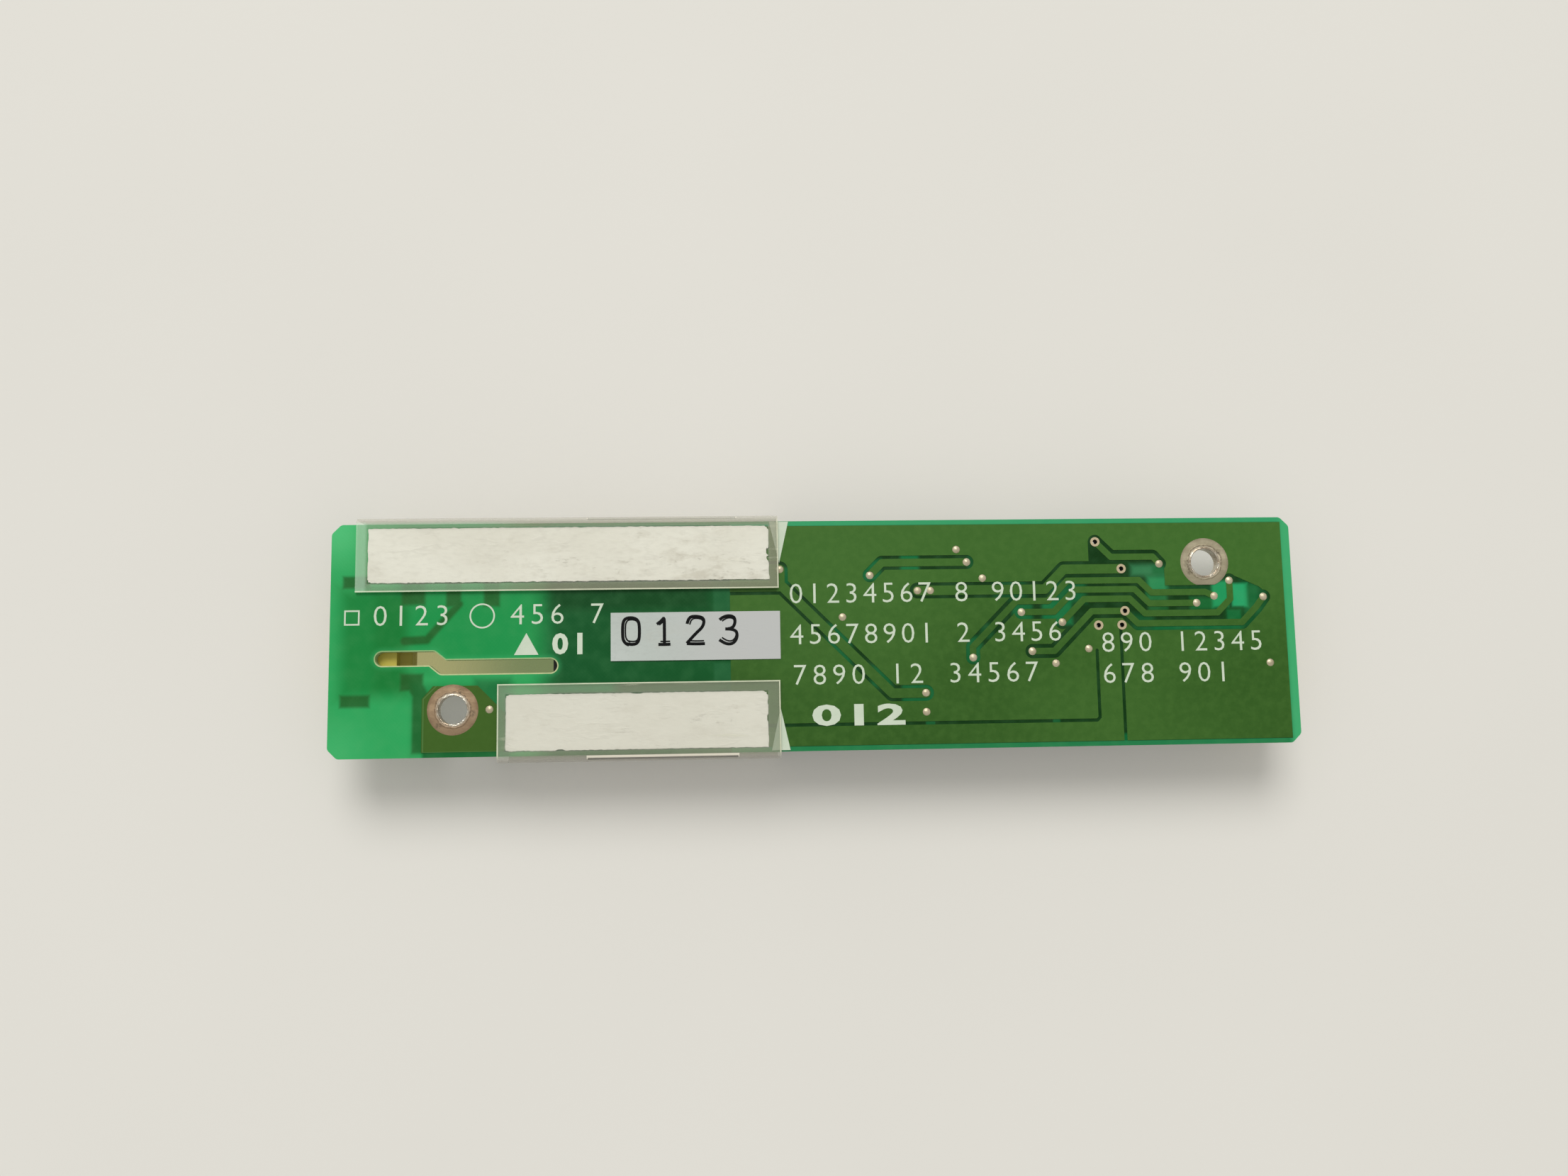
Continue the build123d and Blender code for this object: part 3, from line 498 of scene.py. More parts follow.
    # light runs along the sheet and leaves it at the slot: a pale bare lip with a bright halo round it
    slot = [(-46.95, -1.98), (-41.7, -1.98), (-40.55, -2.93), (-29.2, -2.93)]
    lip, halo = f.path(slot, 1.74, 0.07), f.path(slot, 2.1, 0.9)
    lit_side = (f.y + 2.4).rises(0.6, -0.6) * 0.5 + 0.5
    chips = f.noise(0.35, detail=3.0, seed=6.0)
    colour = f.mix(halo * 0.35, colour, coated(70, 176, 112))
    colour = f.mix(lip * lit_side * (chips * 0.6 + 0.62), colour, paint(196, 200, 150))
    # the cut edges
    edge = f.edge()
    fibre = f.noise(0.5, detail=2.0, stretch=(1, 1, 6), seed=9.0)
    colour = f.mix(edge, colour, f.mix(fibre, paint(120, 150, 96), paint(186, 196, 146)))
    thread = 2 * math.pi / 0.42  # the glass cloth below the mask has a thread every 0.42 mm
    weave = (f.x * thread).math("SINE") * (f.y * thread).math("SINE")
    height = f.noise(0.35, detail=2.0) * 0.6 + weave * 0.2
    return f.surface(
        base_color=colour,
        roughness=edge * 0.35 + f.noise(6.0, seed=5.0) * 0.12 + 0.34,
        normal=f.bump(height, 0.006),
        specular_ior_level=0.15,
    )


laminate_finish = green_laminate()
print("laminate has", len(laminate_finish.node_tree.nodes), "nodes")

# %% [markdown]
# ## Copper under the mask
#
# The same green mask over copper looks olive: the metal below reflects the light back before the
# green can deepen. The mask thins over a track's edge, so a fine pale line runs round each shape,
# and it dries unevenly, so the tone drifts a little from place to place.


# %% Copper finish
def masked_copper():
    f = Finish("masked_copper")
    drift = f.noise(26.0, detail=3.0, stretch=(1, 1.6, 1), seed=2.0)
    mottle = f.noise(0.9, detail=5.0, rough=0.6, seed=1.0)
    colour = f.mix(drift.rises(0.25, 0.75), coated(54, 87, 41), coated(66, 103, 49))
    # painted sheen: the pour is paler towards its upper edge, on the side of the light
    colour = f.mix(f.y.rises(-9.0, 12.0) * 0.6, colour, coated(73, 114, 54))
    colour = f.mix(mottle.rises(0.35, 0.7) * 0.22, colour, coated(84, 122, 60))
    colour = f.mix(f.noise(0.25, detail=2.0, seed=7.0).rises(0.55, 0.75) * 0.12, colour, coated(44, 78, 34))
    # the patch round the lamp-end hole is a little browner, and a strip of the pour lies in shadow
    colour = f.tinted(colour, [
        ((-43, -12.2), (-33.5, -4.6), 0.3, 0.6, (68, 94, 42)),
        ((-9.9, 4.6), (-4.8, 5.15), 0.25, 0.6, (42, 68, 24)),
    ])
    # the mask is thin along the patch's edges, so all but one show as fine pale lines
    patch = [(-34.3, -11.95), (-42.55, -11.95), (-42.55, -6.3), (-41.15, -4.9), (-36.7, -4.9), (-34.3, -7.3)]
    colour = f.mix(f.path(patch, 0.1, 0.08) * 0.4, colour, coated(104, 146, 92))
    colour = f.mix(f.edge() * 0.8, colour, coated(112, 150, 92))
    height = f.noise(0.35, detail=2.0) * 0.5 + mottle * 0.5
    return f.surface(
        base_color=colour,
        roughness=drift * 0.14 + mottle * 0.1 + 0.27,
        normal=f.bump(height, 0.008),
        specular_ior_level=0.15,
    )


copper_finish = masked_copper()
print("copper has", len(copper_finish.node_tree.nodes), "nodes")

# %% [markdown]
# ## Bare metal
#
# Tinned pads, solder, plated screw holes, the can and the wires are all metal, and differ in tint,
# in roughness and in what has happened to them. Solder is bright but slightly dimpled. The ring at
# the lamp end has lost its tin to flux and a screw head and has gone pinkish brown; the other one is
# greyer, with dark smudges beside the hole.


# %% Solder and tinned copper
def metal(name, light, dark, rough, blotch=0.8, wear=0.3, dents=0.01, shine=1.0):
    """A metal that varies between two tints, with finer blotches and a dimpled surface."""
    f = Finish(name)
    broad, fine = f.noise(blotch * 2.5, seed=1.0), f.noise(blotch * 0.5, detail=4.0, seed=4.0)
    colour = f.mix(broad.rises(0.3, 0.7), paint(*light), paint(*dark))
    colour = f.mix(fine.rises(0.5, 0.8) * wear, colour, toned(dark, 0.6))
    return f.surface(
        base_color=colour,
        metallic=shine,
        roughness=fine * 0.2 + rough,
        normal=f.bump(broad * 0.5 + fine * 0.5, dents),
    )


solder_finish = metal(
    "solder", (204, 193, 164), (184, 172, 142), 0.3, blotch=0.3, wear=0.2, dents=0.05, shine=0.55
)
tinned_finish = metal("tinned_copper", (196, 190, 172), (168, 158, 136), 0.34, blotch=0.4)
print("solder and tin ready")

# %% [markdown]
# ## Open vias
#
# Most vias are filled with solder, but a few are open. Light hardly gets into so narrow a hole, so
# the finish turns dark and dull just below the pad's face, by height alone.


# %% Open vias
def plated_via():
    """A bare pad round an open hole: beige tin above, and a dark throat where no light gets in."""
    f = Finish("plated_via")
    fine = f.noise(0.2, detail=3.0)
    throat = 1 - f.z.rises(8.14, 8.23)
    colour = f.mix(fine, paint(206, 192, 160), paint(180, 164, 132))
    colour = f.mix(throat, colour, paint(12, 16, 8))
    return f.surface(
        base_color=colour,
        metallic=(1 - throat) * 0.6,
        roughness=fine * 0.2 + throat * 0.4 + 0.3,
        normal=f.bump(fine, 0.01),
        specular_ior_level=0.2,
    )


via_finish = plated_via()
print("vias ready")

# %% [markdown]
# ## Rings round the screw holes
#
# A screw head has turned on each of these pads. What it did is drawn in rings about the hole's
# centre: a stain towards the rim, a wavering brown line where the burr was bent over, rubbed metal
# inside it, and on top of these the streaks and smudges of wiping.


# %% Rings round the screw holes
def worn_ring(name, centre, light, dark, stain, smudges):
    """A bare annular pad: wiped unevenly, stained towards its rim, and rubbed bright near the hole."""
    f = Finish(name)
    dx, dy = f.x - centre[0], f.y - centre[1]
    radius = length(dx, dy)
    broad, fine = f.noise(1.3, seed=2.0), f.noise(0.2, detail=5.0, rough=0.6, seed=5.0)
    wiped = f.noise(0.7, detail=4.0, stretch=(0.35, 1.6, 1), seed=8.0)
    colour = f.mix(broad.rises(0.3, 0.7), paint(*light), paint(*dark))
    colour = f.mix(wiped.rises(0.45, 0.7) * 0.35, colour, toned(light, 1.16))
    colour = f.mix(radius.rises(2.3, 2.72) * (broad * 0.5 + 0.2), colour, paint(*stain))
    # a wavering brown line where the burr was bent over, with rubbed metal inside it
    waver = f.noise(0.8, detail=2.0, seed=12.0) * 0.35
    burr = 1 - abs(radius - waver - 1.72).rises(0.02, 0.12)
    colour = f.mix(burr * fine.rises(0.35, 0.6) * 0.75, colour, paint(88, 68, 50))
    colour = f.mix((1 - (radius - waver).rises(1.55, 1.75)) * 0.5, colour, paint(206, 196, 176))
    # the pad is darker towards its near side, below the hole
    colour = f.mix(dy.rises(0.8, -2.2) * 0.55, colour, toned(dark, 0.84))
    for place, size in smudges:
        colour = f.mix(f.disc(place, size, size) * fine.rises(0.35, 0.6) * 0.6, colour, paint(74, 66, 50))
    colour = f.mix(fine.rises(0.55, 0.8) * 0.3, colour, toned(dark, 0.74))
    return f.surface(
        base_color=colour,
        metallic=0.55,
        roughness=fine * 0.25 + broad * 0.1 + 0.36,
        normal=f.bump(fine * 0.5 + wiped * 0.3 + broad * 0.3 + burr * 0.5, 0.03),
    )


def hole_centre(ring):
    """The middle of a screw hole. A ring may be cut off below, so its upper side is measured."""
    low, high = (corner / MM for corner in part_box(ring))
    return (low.x + high.x) / 2, high.y - (high.x - low.x) / 2


lamp_hole, input_hole = hole_centre("mounting_ring_lamp_end"), hole_centre("mounting_ring_input_end")
print("holes at", lamp_hole, input_hole)
lamp_ring_finish = worn_ring(
    "lamp_end_ring", lamp_hole, (166, 142, 112), (142, 118, 90), (112, 88, 66),
    [((-37.4, -7.9), 0.35), ((-40.9, -9.1), 0.3), ((-38.6, -5.6), 0.3)],
)
input_ring_finish = worn_ring(
    "input_end_ring", input_hole, (172, 163, 137), (154, 145, 119), (118, 107, 86),
    [((40.85, 7.4), 0.45), ((41.0, 6.5), 0.35), ((44.2, 8.6), 0.3)],
)
print("rings ready")

# %% [markdown]
# ## Drawn aluminium
#
# The two filter capacitors are cups of satin aluminium that stand on the board, so their flat ends
# face down here. Each carries the black mark that tells one terminal from the other: a disc that is
# cut off straight, placed about the middle of its can.


# %% Drawn aluminium
def can_metal():
    """Satin aluminium, drawn into a cup: fine rings, and a black mark over one side of the flat end."""
    f = Finish("can_aluminium")
    fine = f.noise(0.25, detail=3.0, stretch=(1, 1, 8))
    colour = f.mix(f.noise(2.5), paint(208, 210, 212), paint(186, 189, 192))
    marked = 1 - f.z.rises(2.6, 3.4)
    for x, y in ((22.6, 7.4), (38.6, -6.9)):
        flat_end = f.disc((x, y), 2.75, 0.1) * f.x.rises(x + 1.25, x + 1.35) * f.x.rises(x + 3.5, x + 3.4)
        colour = f.mix(flat_end * marked, colour, paint(34, 34, 36))
    return f.surface(
        base_color=colour, metallic=0.9, roughness=fine * 0.14 + 0.24, normal=f.bump(fine, 0.004)
    )


aluminium_finish = can_metal()
print("aluminium ready")

# %% [markdown]
# ## Plastics, ceramics and wire
#
# The parts under the board are moulded, pressed or wound. A moulded face is slightly pebbled and
# picks up dust; a pressed ferrite core is matt and sandy; a winding shows its turns as fine ridges.


# %% Non-metal finishes
def moulded(name, light, dark, rough, pebble=0.25, depth=0.006, dust=0.15, clear=0.0, level=0.4, lit=None):
    """Moulded or pressed: two close tints, a pebbled face, and dust caught in it. Where lit is given, a box
    of painted light in its tint lies over it.
    """
    f = Finish(name)
    broad, fine = f.noise(3.0, seed=1.0), f.noise(pebble, detail=3.0, seed=3.0)
    colour = f.mix(broad.rises(0.3, 0.7), paint(*light), paint(*dark))
    colour = f.mix(f.noise(0.8, detail=5.0, seed=6.0).rises(0.58, 0.8) * dust, colour, paint(150, 145, 132))
    if lit:
        low, high, tint = lit
        colour = f.mix(f.box(low, high, 0.6) * 0.9, colour, paint(*tint))
    return f.surface(
        base_color=colour,
        roughness=fine * 0.15 + rough,
        normal=f.bump(fine, depth),
        coat_weight=clear,
        specular_ior_level=level,
    )


def wound(name, axis, pitch):
    """Enamelled wire, its turns stacked along an axis."""
    f = Finish(name)
    along = {"x": f.x, "z": f.z}[axis]
    ridge = abs((along * (math.pi / pitch)).math("SINE"))
    broad = f.noise(1.5, seed=2.0)
    colour = f.mix(broad.rises(0.3, 0.7), paint(190, 108, 52), paint(158, 82, 38))
    # painted shade in the grooves between the turns
    colour = f.mix((1 - ridge.rises(0.0, 0.55)) * 0.8, colour, paint(66, 30, 14))
    return f.surface(
        base_color=colour,
        metallic=0.6,
        roughness=broad * 0.15 + 0.24,
        normal=f.bump(ridge + broad * 0.4, pitch * 0.4),
    )


ferrite_finish = moulded("ferrite", (58, 58, 60), (42, 42, 44), 0.62, pebble=0.18, depth=0.02, dust=0.25)
black_resin_finish = moulded("black_resin", (34, 34, 36), (26, 26, 28), 0.42, pebble=0.14, depth=0.008)
bobbin_finish = moulded("bobbin_resin", (30, 29, 28), (20, 20, 20), 0.38, pebble=0.3, depth=0.01, dust=0.1)
# painted light: below the slot the nylon is tinted by the yellow-green light that the board lets through
nylon_finish = moulded(
    "ivory_nylon", (216, 198, 132), (202, 182, 112), 0.4, pebble=0.3, depth=0.006, dust=0.12,
    lit=((-48.8, -3.8), (-43.4, -0.2), (208, 190, 80)),
)
tan_ceramic_finish = moulded("tan_ceramic", (176, 148, 112), (158, 128, 94), 0.46, pebble=0.12, depth=0.008)
white_ceramic_finish = moulded(
    "white_ceramic", (224, 222, 214), (210, 208, 198), 0.3, pebble=0.2, depth=0.004
)
grey_resin_finish = moulded("grey_resin", (112, 116, 120), (94, 98, 104), 0.42, pebble=0.2, depth=0.008)
yellow_tape_finish = moulded(
    "yellow_tape", (226, 184, 52), (212, 168, 40), 0.18, pebble=1.2, depth=0.01, clear=0.4
)
wire_along_finish = wound("winding_wire", "x", 0.14)
wire_round_finish = wound("choke_wire", "z", 0.32)
print("plastics ready")

# %% [markdown]
# ## Clear film
#
# The film is clear plastic sheet gone slightly milky. Where it lies loose over the board it veils
# what is below, and where it is stuck to the white tape the veil is gone, as on wet paper. Its cut
# edges gather light and show as bright lines. Alpha is the right tool: the light goes straight
# through, with no refraction to trace in so thin a sheet.


# %% Film finish
def clear_film():
    f = Finish("clear_film")
    clouds, scuffs = f.noise(7.0, detail=3.0), f.noise(0.7, detail=5.0, rough=0.65, seed=4.0)
    on_top = f.z.rises(8.2, 8.35)
    stuck = any_of(f.box((-48.7, 6.0), (-5.6, 12.1), 0.3), f.box((-33.9, -12.0), (-5.9, -5.9), 0.3)) * on_top
    veil = (clouds * 0.14 + 0.22) * (1 - stuck * 0.9)
    # the sheet under the parts and the folded walls are seen along their thickness and look denser
    fold = abs(f.y).rises(12.45, 12.9)
    veil = veil - (1 - on_top) * 0.05 * (1 - fold) + fold * 0.06
    # how far it is to the nearest cut edge of a flap: its long side, its two ends and the notch
    cuts = abs(f.y - 5.22).under(abs(f.x + 4.67)).under(abs(f.x + 49.8) + 0.07)
    cuts = cuts.under(abs(f.y + 4.92) + f.x.rises(-34.7, -34.9) * 5.0)
    cuts = cuts.under(abs(f.x + 34.68) + f.y.rises(0.0, 0.2) * 5.0)
    uneven = f.noise(1.3, detail=3.0, seed=7.0)
    bright = (1 - cuts.rises(0.04, 0.09)) * on_top * (uneven * 0.6 + 0.45) * (1 - fold * 0.8)
    scratch = f.noise(0.5, detail=1.0, stretch=(0.08, 1, 1), seed=11.0).rises(0.7, 0.76)
    scratch = scratch * clouds.rises(0.45, 0.6)
    veil = (veil + scratch * 0.12 + bright * 0.75).clamped()
    colour = f.mix(clouds, paint(162, 165, 142), paint(178, 177, 152))
    # painted light and shade from the board below: over the green, open end the veil is tinted green and is
    # palest at the very end, a duller green over the lower half, and green along the lower flap's edge
    over_green = f.x.rises(-30.0, -38.0) * (1 - fold)
    colour = f.mix(over_green * 0.75, colour, paint(154, 204, 162))
    colour = f.mix(f.x.rises(-48.6, -49.0) * (1 - fold) * 0.8, colour, paint(206, 240, 210))
    colour = f.mix(f.y.rises(1.0, -1.0) * (1 - over_green) * (1 - fold) * 0.35, colour, paint(146, 172, 142))
    colour = f.mix(f.box((-34.0, -6.0), (-22.5, -4.8), 2.0) * (1 - fold) * 0.8, colour, paint(156, 202, 158))
    colour = f.mix(fold, colour, paint(206, 203, 190))
    colour = f.mix((1 - on_top) * (1 - fold), colour, paint(200, 197, 178))
    colour = f.mix(stuck, colour, paint(226, 224, 210))
    colour = f.mix((bright + scratch * 0.5).clamped(), colour, paint(220, 223, 196))
    height = clouds * 0.6 + scuffs * 0.3 + scratch * 0.1
    # each fold is slit beside the transformer, and the slit's lips catch light as well, painted bright
    slit = any_of(f.box((-25.3, -12.95), (-9.1, -12.55), 0.05), f.box((-25.3, 12.9), (-9.1, 13.1), 0.05))
    colour = f.mix(slit * on_top, colour, paint(236, 230, 212))
    veil = (veil + slit * on_top * 0.5).clamped()
    # painted light: the light that comes through the board and falls on the sheet below the slot is a glow
    # over a darker base
    upper_face = f.upward().rises(0.2, 0.8)
    below_slot = f.box((-48.5, -3.7), (-29.6, -0.3), 0.7) * (1 - f.z.rises(0.5, 1.0)) * upper_face
    lit = f.mix(f.x.rises(-44.0, -32.0), paint(165, 161, 109), paint(118, 132, 86))
    colour = f.mix(below_slot, colour, paint(70, 68, 48))
    return f.surface(
        base_color=colour,
        alpha=(veil + below_slot * 0.6).clamped(),
        roughness=scuffs * 0.15 + 0.25,
        normal=f.bump(height, 0.05),
        specular_ior_level=0.2,
        emission_color=f.mix(below_slot, (0, 0, 0, 1), lit),
        emission_strength=1.0,
    )


film_finish = clear_film()
print("film has", len(film_finish.node_tree.nodes), "nodes")

# %% [markdown]
# ## Tape and label
#
# The white tape still has its paper on, and the label is paper too. Clean paper is almost one even
# tone, so nearly all of the pattern is handling: grey smears, grit, blotches and creases, thickest
# where hands take hold of the board. One function makes both papers, and a larger or smaller share
# of dirt tells them apart.


# %% Tape and label finishes
def paper(name, light, dark, rough, dirt, fibre=0.4, depth=0.01, near=None, cooler=None):
    """
    Tape or paper: soft tone changes, fine fibres, creases, and grey scuffs and specks from handling.
    near darkens it on the near side of the board; cooler is where it turns a cooler tone along X.
    """
    f = Finish(name)
    broad = f.noise(9.0, detail=4.0, seed=2.0)
    fine = f.noise(fibre, detail=4.0, stretch=(0.5, 1, 1), seed=5.0)
    colour = f.mix(broad.rises(0.3, 0.7), paint(*light), paint(*dark))
    colour = f.mix(fine.rises(0.45, 0.75) * 0.3, colour, toned(dark, 0.92))
    # hands have taken hold of it mostly towards the middle of the board, and along one edge there
    upper_grip = f.box((-25.0, 5.8), (-5.4, 8.9), 2.5) * 0.5
    lower_grip = f.box((-33.0, -12.0), (-5.0, -5.9), 3.0) * 0.35
    worn = f.noise(9.0, detail=2.0, seed=14.0).rises(0.42, 0.66) * (f.x.rises(-42.0, -14.0) * 0.6 + 0.4)
    worn = (worn + upper_grip + lower_grip).clamped()
    smear = f.noise(0.8, detail=8.0, rough=0.8, stretch=(0.5, 1.3, 1), seed=9.0).rises(0.56, 0.68)
    grit = f.noise(0.3, detail=4.0, rough=0.7, stretch=(0.7, 1.2, 1), seed=17.0).rises(0.62, 0.74)
    blotch = f.noise(1.8, detail=6.0, rough=0.7, stretch=(0.55, 1.3, 1), seed=27.0).rises(0.48, 0.68)
    colour = f.mix(blotch * worn * dirt * 1.3, colour, paint(178, 172, 154))
    colour = f.mix(smear * worn * dirt * 1.5, colour, paint(156, 149, 132))
    colour = f.mix(grit * (worn * 0.7 + 0.3) * dirt, colour, paint(150, 144, 128))
    colour = f.mix(f.specks(2.6, 0.2, seed=3.0) * dirt * 1.8, colour, paint(126, 116, 98))
    colour = f.mix(f.specks(1.2, 0.09, seed=8.0) * dirt * 1.4, colour, paint(120, 112, 96))
    # long, shallow creases where the sheet was pressed down unevenly, each with a line of painted shade along
    # it
    folds = f.noise(4.5, detail=4.0, rough=0.55, stretch=(0.45, 1.3, 1), seed=23.0)
    crease = (1 - abs(folds - 0.5).rises(0.0, 0.035)) * f.noise(5.0, detail=1.0, seed=31.0).rises(0.4, 0.6)
    colour = f.mix(crease * dirt * 0.5, colour, toned(dark, 0.9))
    if near:
        colour = f.mix(f.y.rises(5.0, -5.0) * 0.6, colour, toned(dark, near))
    if cooler:
        colour = f.mix(f.x.rises(*cooler), colour, toned(light, 0.965, 0.94, 0.955))
    return f.surface(
        base_color=colour,
        roughness=fine * 0.15 + rough,
        normal=f.bump(broad * 0.5 + fine * 0.3 + crease * 0.22 + smear * worn * 0.3, depth),
    )


tape_finish = paper("white_tape", (223, 222, 208), (214, 212, 197), 0.5, 0.42, depth=0.05, near=0.955)
label_finish = paper(
    "label_paper", (186, 193, 187), (176, 184, 177), 0.42, 0.16, fibre=0.25, cooler=(-20.0, -8.0)
)
ink_finish = moulded("marker_ink", (16, 17, 17), (6, 7, 7), 0.5, pebble=0.3, depth=0.003, dust=0.0, level=0.1)
print("tape, label and ink ready")

# %% [markdown]
# ## Screen-print ink
#
# The ink is printed thin enough for a little of the green to show through, so it isn't pure white
# but a pale, greenish grey. Fine noise gives it the worn spots that a screen leaves.


# %% White print finish
def white_print():
    """Screen-printed ink: matt, a little translucent at thin spots, with the odd pinhole."""
    f = Finish("white_print")
    broad, fine = f.noise(1.5, detail=3.0), f.noise(0.18, detail=4.0, seed=2.0)
    colour = f.mix(broad, paint(184, 200, 176), paint(204, 212, 194))
    colour = f.mix(fine.rises(0.6, 0.85) * 0.4, colour, paint(140, 168, 128))
    return f.surface(base_color=colour, roughness=fine * 0.2 + 0.5, normal=f.bump(fine, 0.01))


print_finish = white_print()
print("print ready")

# %% [markdown]
# ## Dressing the frame
#
# Most of the CAD pieces have the right shape already, and only need their finish. A table from finish
# to nodes is easier to read, and to change, than fifty separate lines. What it doesn't name, the pads,
# pins, tabs, leads and ends, is tinned metal.

# %% Finishes for the CAD pieces
dressing = {
    laminate_finish: ["circuit_board"],
    copper_finish: ["solder_side_copper", "component_side_copper"],
    lamp_ring_finish: ["mounting_ring_lamp_end"],
    input_ring_finish: ["mounting_ring_input_end"],
    solder_finish: ["filled_vias"],
    via_finish: ["open_vias"],
    film_finish: ["insulation_film"],
    label_finish: ["lot_label"],
    ferrite_finish: ["transformer_core_lamp_end", "transformer_core_input_end", "choke_core"],
    bobbin_finish: ["transformer_bobbin", "choke_base", "filter_capacitor_bases"],
    wire_along_finish: ["transformer_secondary_winding", "transformer_primary_winding"],
    wire_round_finish: ["choke_winding"],
    yellow_tape_finish: ["transformer_wrap"],
    nylon_finish: ["lamp_connector_housing", "input_connector_housing"],
    tan_ceramic_finish: ["ballast_capacitor_bodies", "chip_capacitor_bodies"],
    grey_resin_finish: ["resonance_capacitor_body"],
    black_resin_finish: [
        "switching_transistor_bodies", "control_chip_body", "regulator_chip_body", "sense_chip_body",
        "diode_body", "chip_resistor_bodies",
    ],
    white_ceramic_finish: ["fuse_body"],
    aluminium_finish: ["filter_capacitor_cans"],
}
finish_of = {name: tinned_finish for name in nodes}
finish_of.update({name: finish for finish, names in dressing.items() for name in names})
for name, piece in nodes.items():
    for held in piece.material_slots:
        held.material = finish_of[name]
tinned = [name for name, finish in finish_of.items() if finish == tinned_finish]
print(len(tinned), "of the", len(finish_of), "nodes are tinned metal")

# %% [markdown]
# ## Floor and light
#
# The board lies on a pale table. One broad, distant lamp high beyond the far edge gives the soft
# shadow on the near side, a small soft box beside it adds a glint on the film and the metal, and an
# even pale world fills in the rest. Together they light a level surface so that it shows about the
# colour it is given.

# %% Floor
let_go()
bpy.ops.mesh.primitive_plane_add(size=3.0, location=(0, 0, 0))
floor = settle(bpy.context.object, "floor")
f = Finish("pale_table")
tone, grain = f.noise(60.0, detail=2.0), f.noise(1.2, detail=4.0, seed=2.0)
plain = f.principled(
    base_color=f.mix(tone, paint(220, 218, 211), paint(214, 212, 205)),
    roughness=0.8,
    specular_ior_level=0.15,
    normal=f.bump(grain, 0.01),
)
# what looks at the table, straight on or in a reflection, sees a faint glow added to it
ray = f.node("ShaderNodeLightPath").outputs
seen = any_of(*[Amount(f, ray[f"Is {kind} Ray"]) for kind in ("Camera", "Glossy", "Transmission")])
glow = f.node("ShaderNodeEmission", {}, {"Color": paint(238, 235, 226), "Strength": 1.0}).outputs[0]
blended = f.node("ShaderNodeMixShader", {}, {0: seen * 0.15, 1: plain, 2: glow}).outputs[0]
floor.data.materials.append(f.output(blended))
print("floor is", round(floor.dimensions.x, 2), "m wide")

# %% Light
world = bpy.data.worlds.new("even_light")
bpy.context.scene.world = world
WARM_WHITE = (1.0, 0.99, 0.97)
room = Tree(world)
sky = room.node("ShaderNodeBackground", {}, {"Color": (*WARM_WHITE, 1.0), "Strength": 0.55})
# the camera sees the far wall a little paler than the light it gives
wall = room.node("ShaderNodeBackground", {}, {"Color": paint(222, 220, 213), "Strength": 1.0})
to_camera = room.node("ShaderNodeLightPath").outputs["Is Camera Ray"]
chosen = room.node("ShaderNodeMixShader", {}, {0: to_camera, 1: sky.outputs[0], 2: wall.outputs[0]})
room.node("ShaderNodeOutputWorld", {}, {"Surface": chosen.outputs[0]})
bpy.ops.object.light_add(type="SUN", rotation=(math.radians(-38), math.radians(-6), 0))
key = bpy.context.object
key.data.energy = 1.75
key.data.angle = math.radians(34)
key.data.color = WARM_WHITE
bpy.ops.object.light_add(
    type="AREA", location=(-0.05, 0.22, 0.28), rotation=(math.radians(-38), math.radians(-10), 0)
)
glint = bpy.context.object
glint.data.shape = "RECTANGLE"
glint.data.size, glint.data.size_y = 0.3, 0.12
glint.data.energy = 0.12
print("sky", sky.inputs["Strength"].default_value, "key", key.data.energy)

# %% [markdown]
# ## Torn tape
#
# The white tape under each flap is a double-sided foam tape with its paper still on. It was cut and
# handled, so its edges are ragged and its corners are dented. A grid is made at the size of the CAD
# tape, its rim is shaken at random and smoothed once, a few corners and bites are pushed in, and
# Solidify gives it its thickness. It stays a hair's breadth below the film that lies on it.


# %% Tape pieces
TAPE_GRID = 0.22  # the spacing of the points in a tape
TAPE_LIFT = 0.03  # how far a tape floats above what it is stuck to


def edit_points(piece, wanted):
    """Edit mode, with just the vertices selected for which wanted(x, y, z) in millimetres is true."""
    take(piece)
    bpy.ops.object.mode_set(mode="EDIT")
    bpy.ops.mesh.select_mode(type="VERT")
    bpy.ops.mesh.select_all(action="DESELECT")
    shut()
    for vertex in piece.data.vertices:
        vertex.select = bool(wanted(*(c / MM for c in vertex.co)))
    bpy.ops.object.mode_set(mode="EDIT")


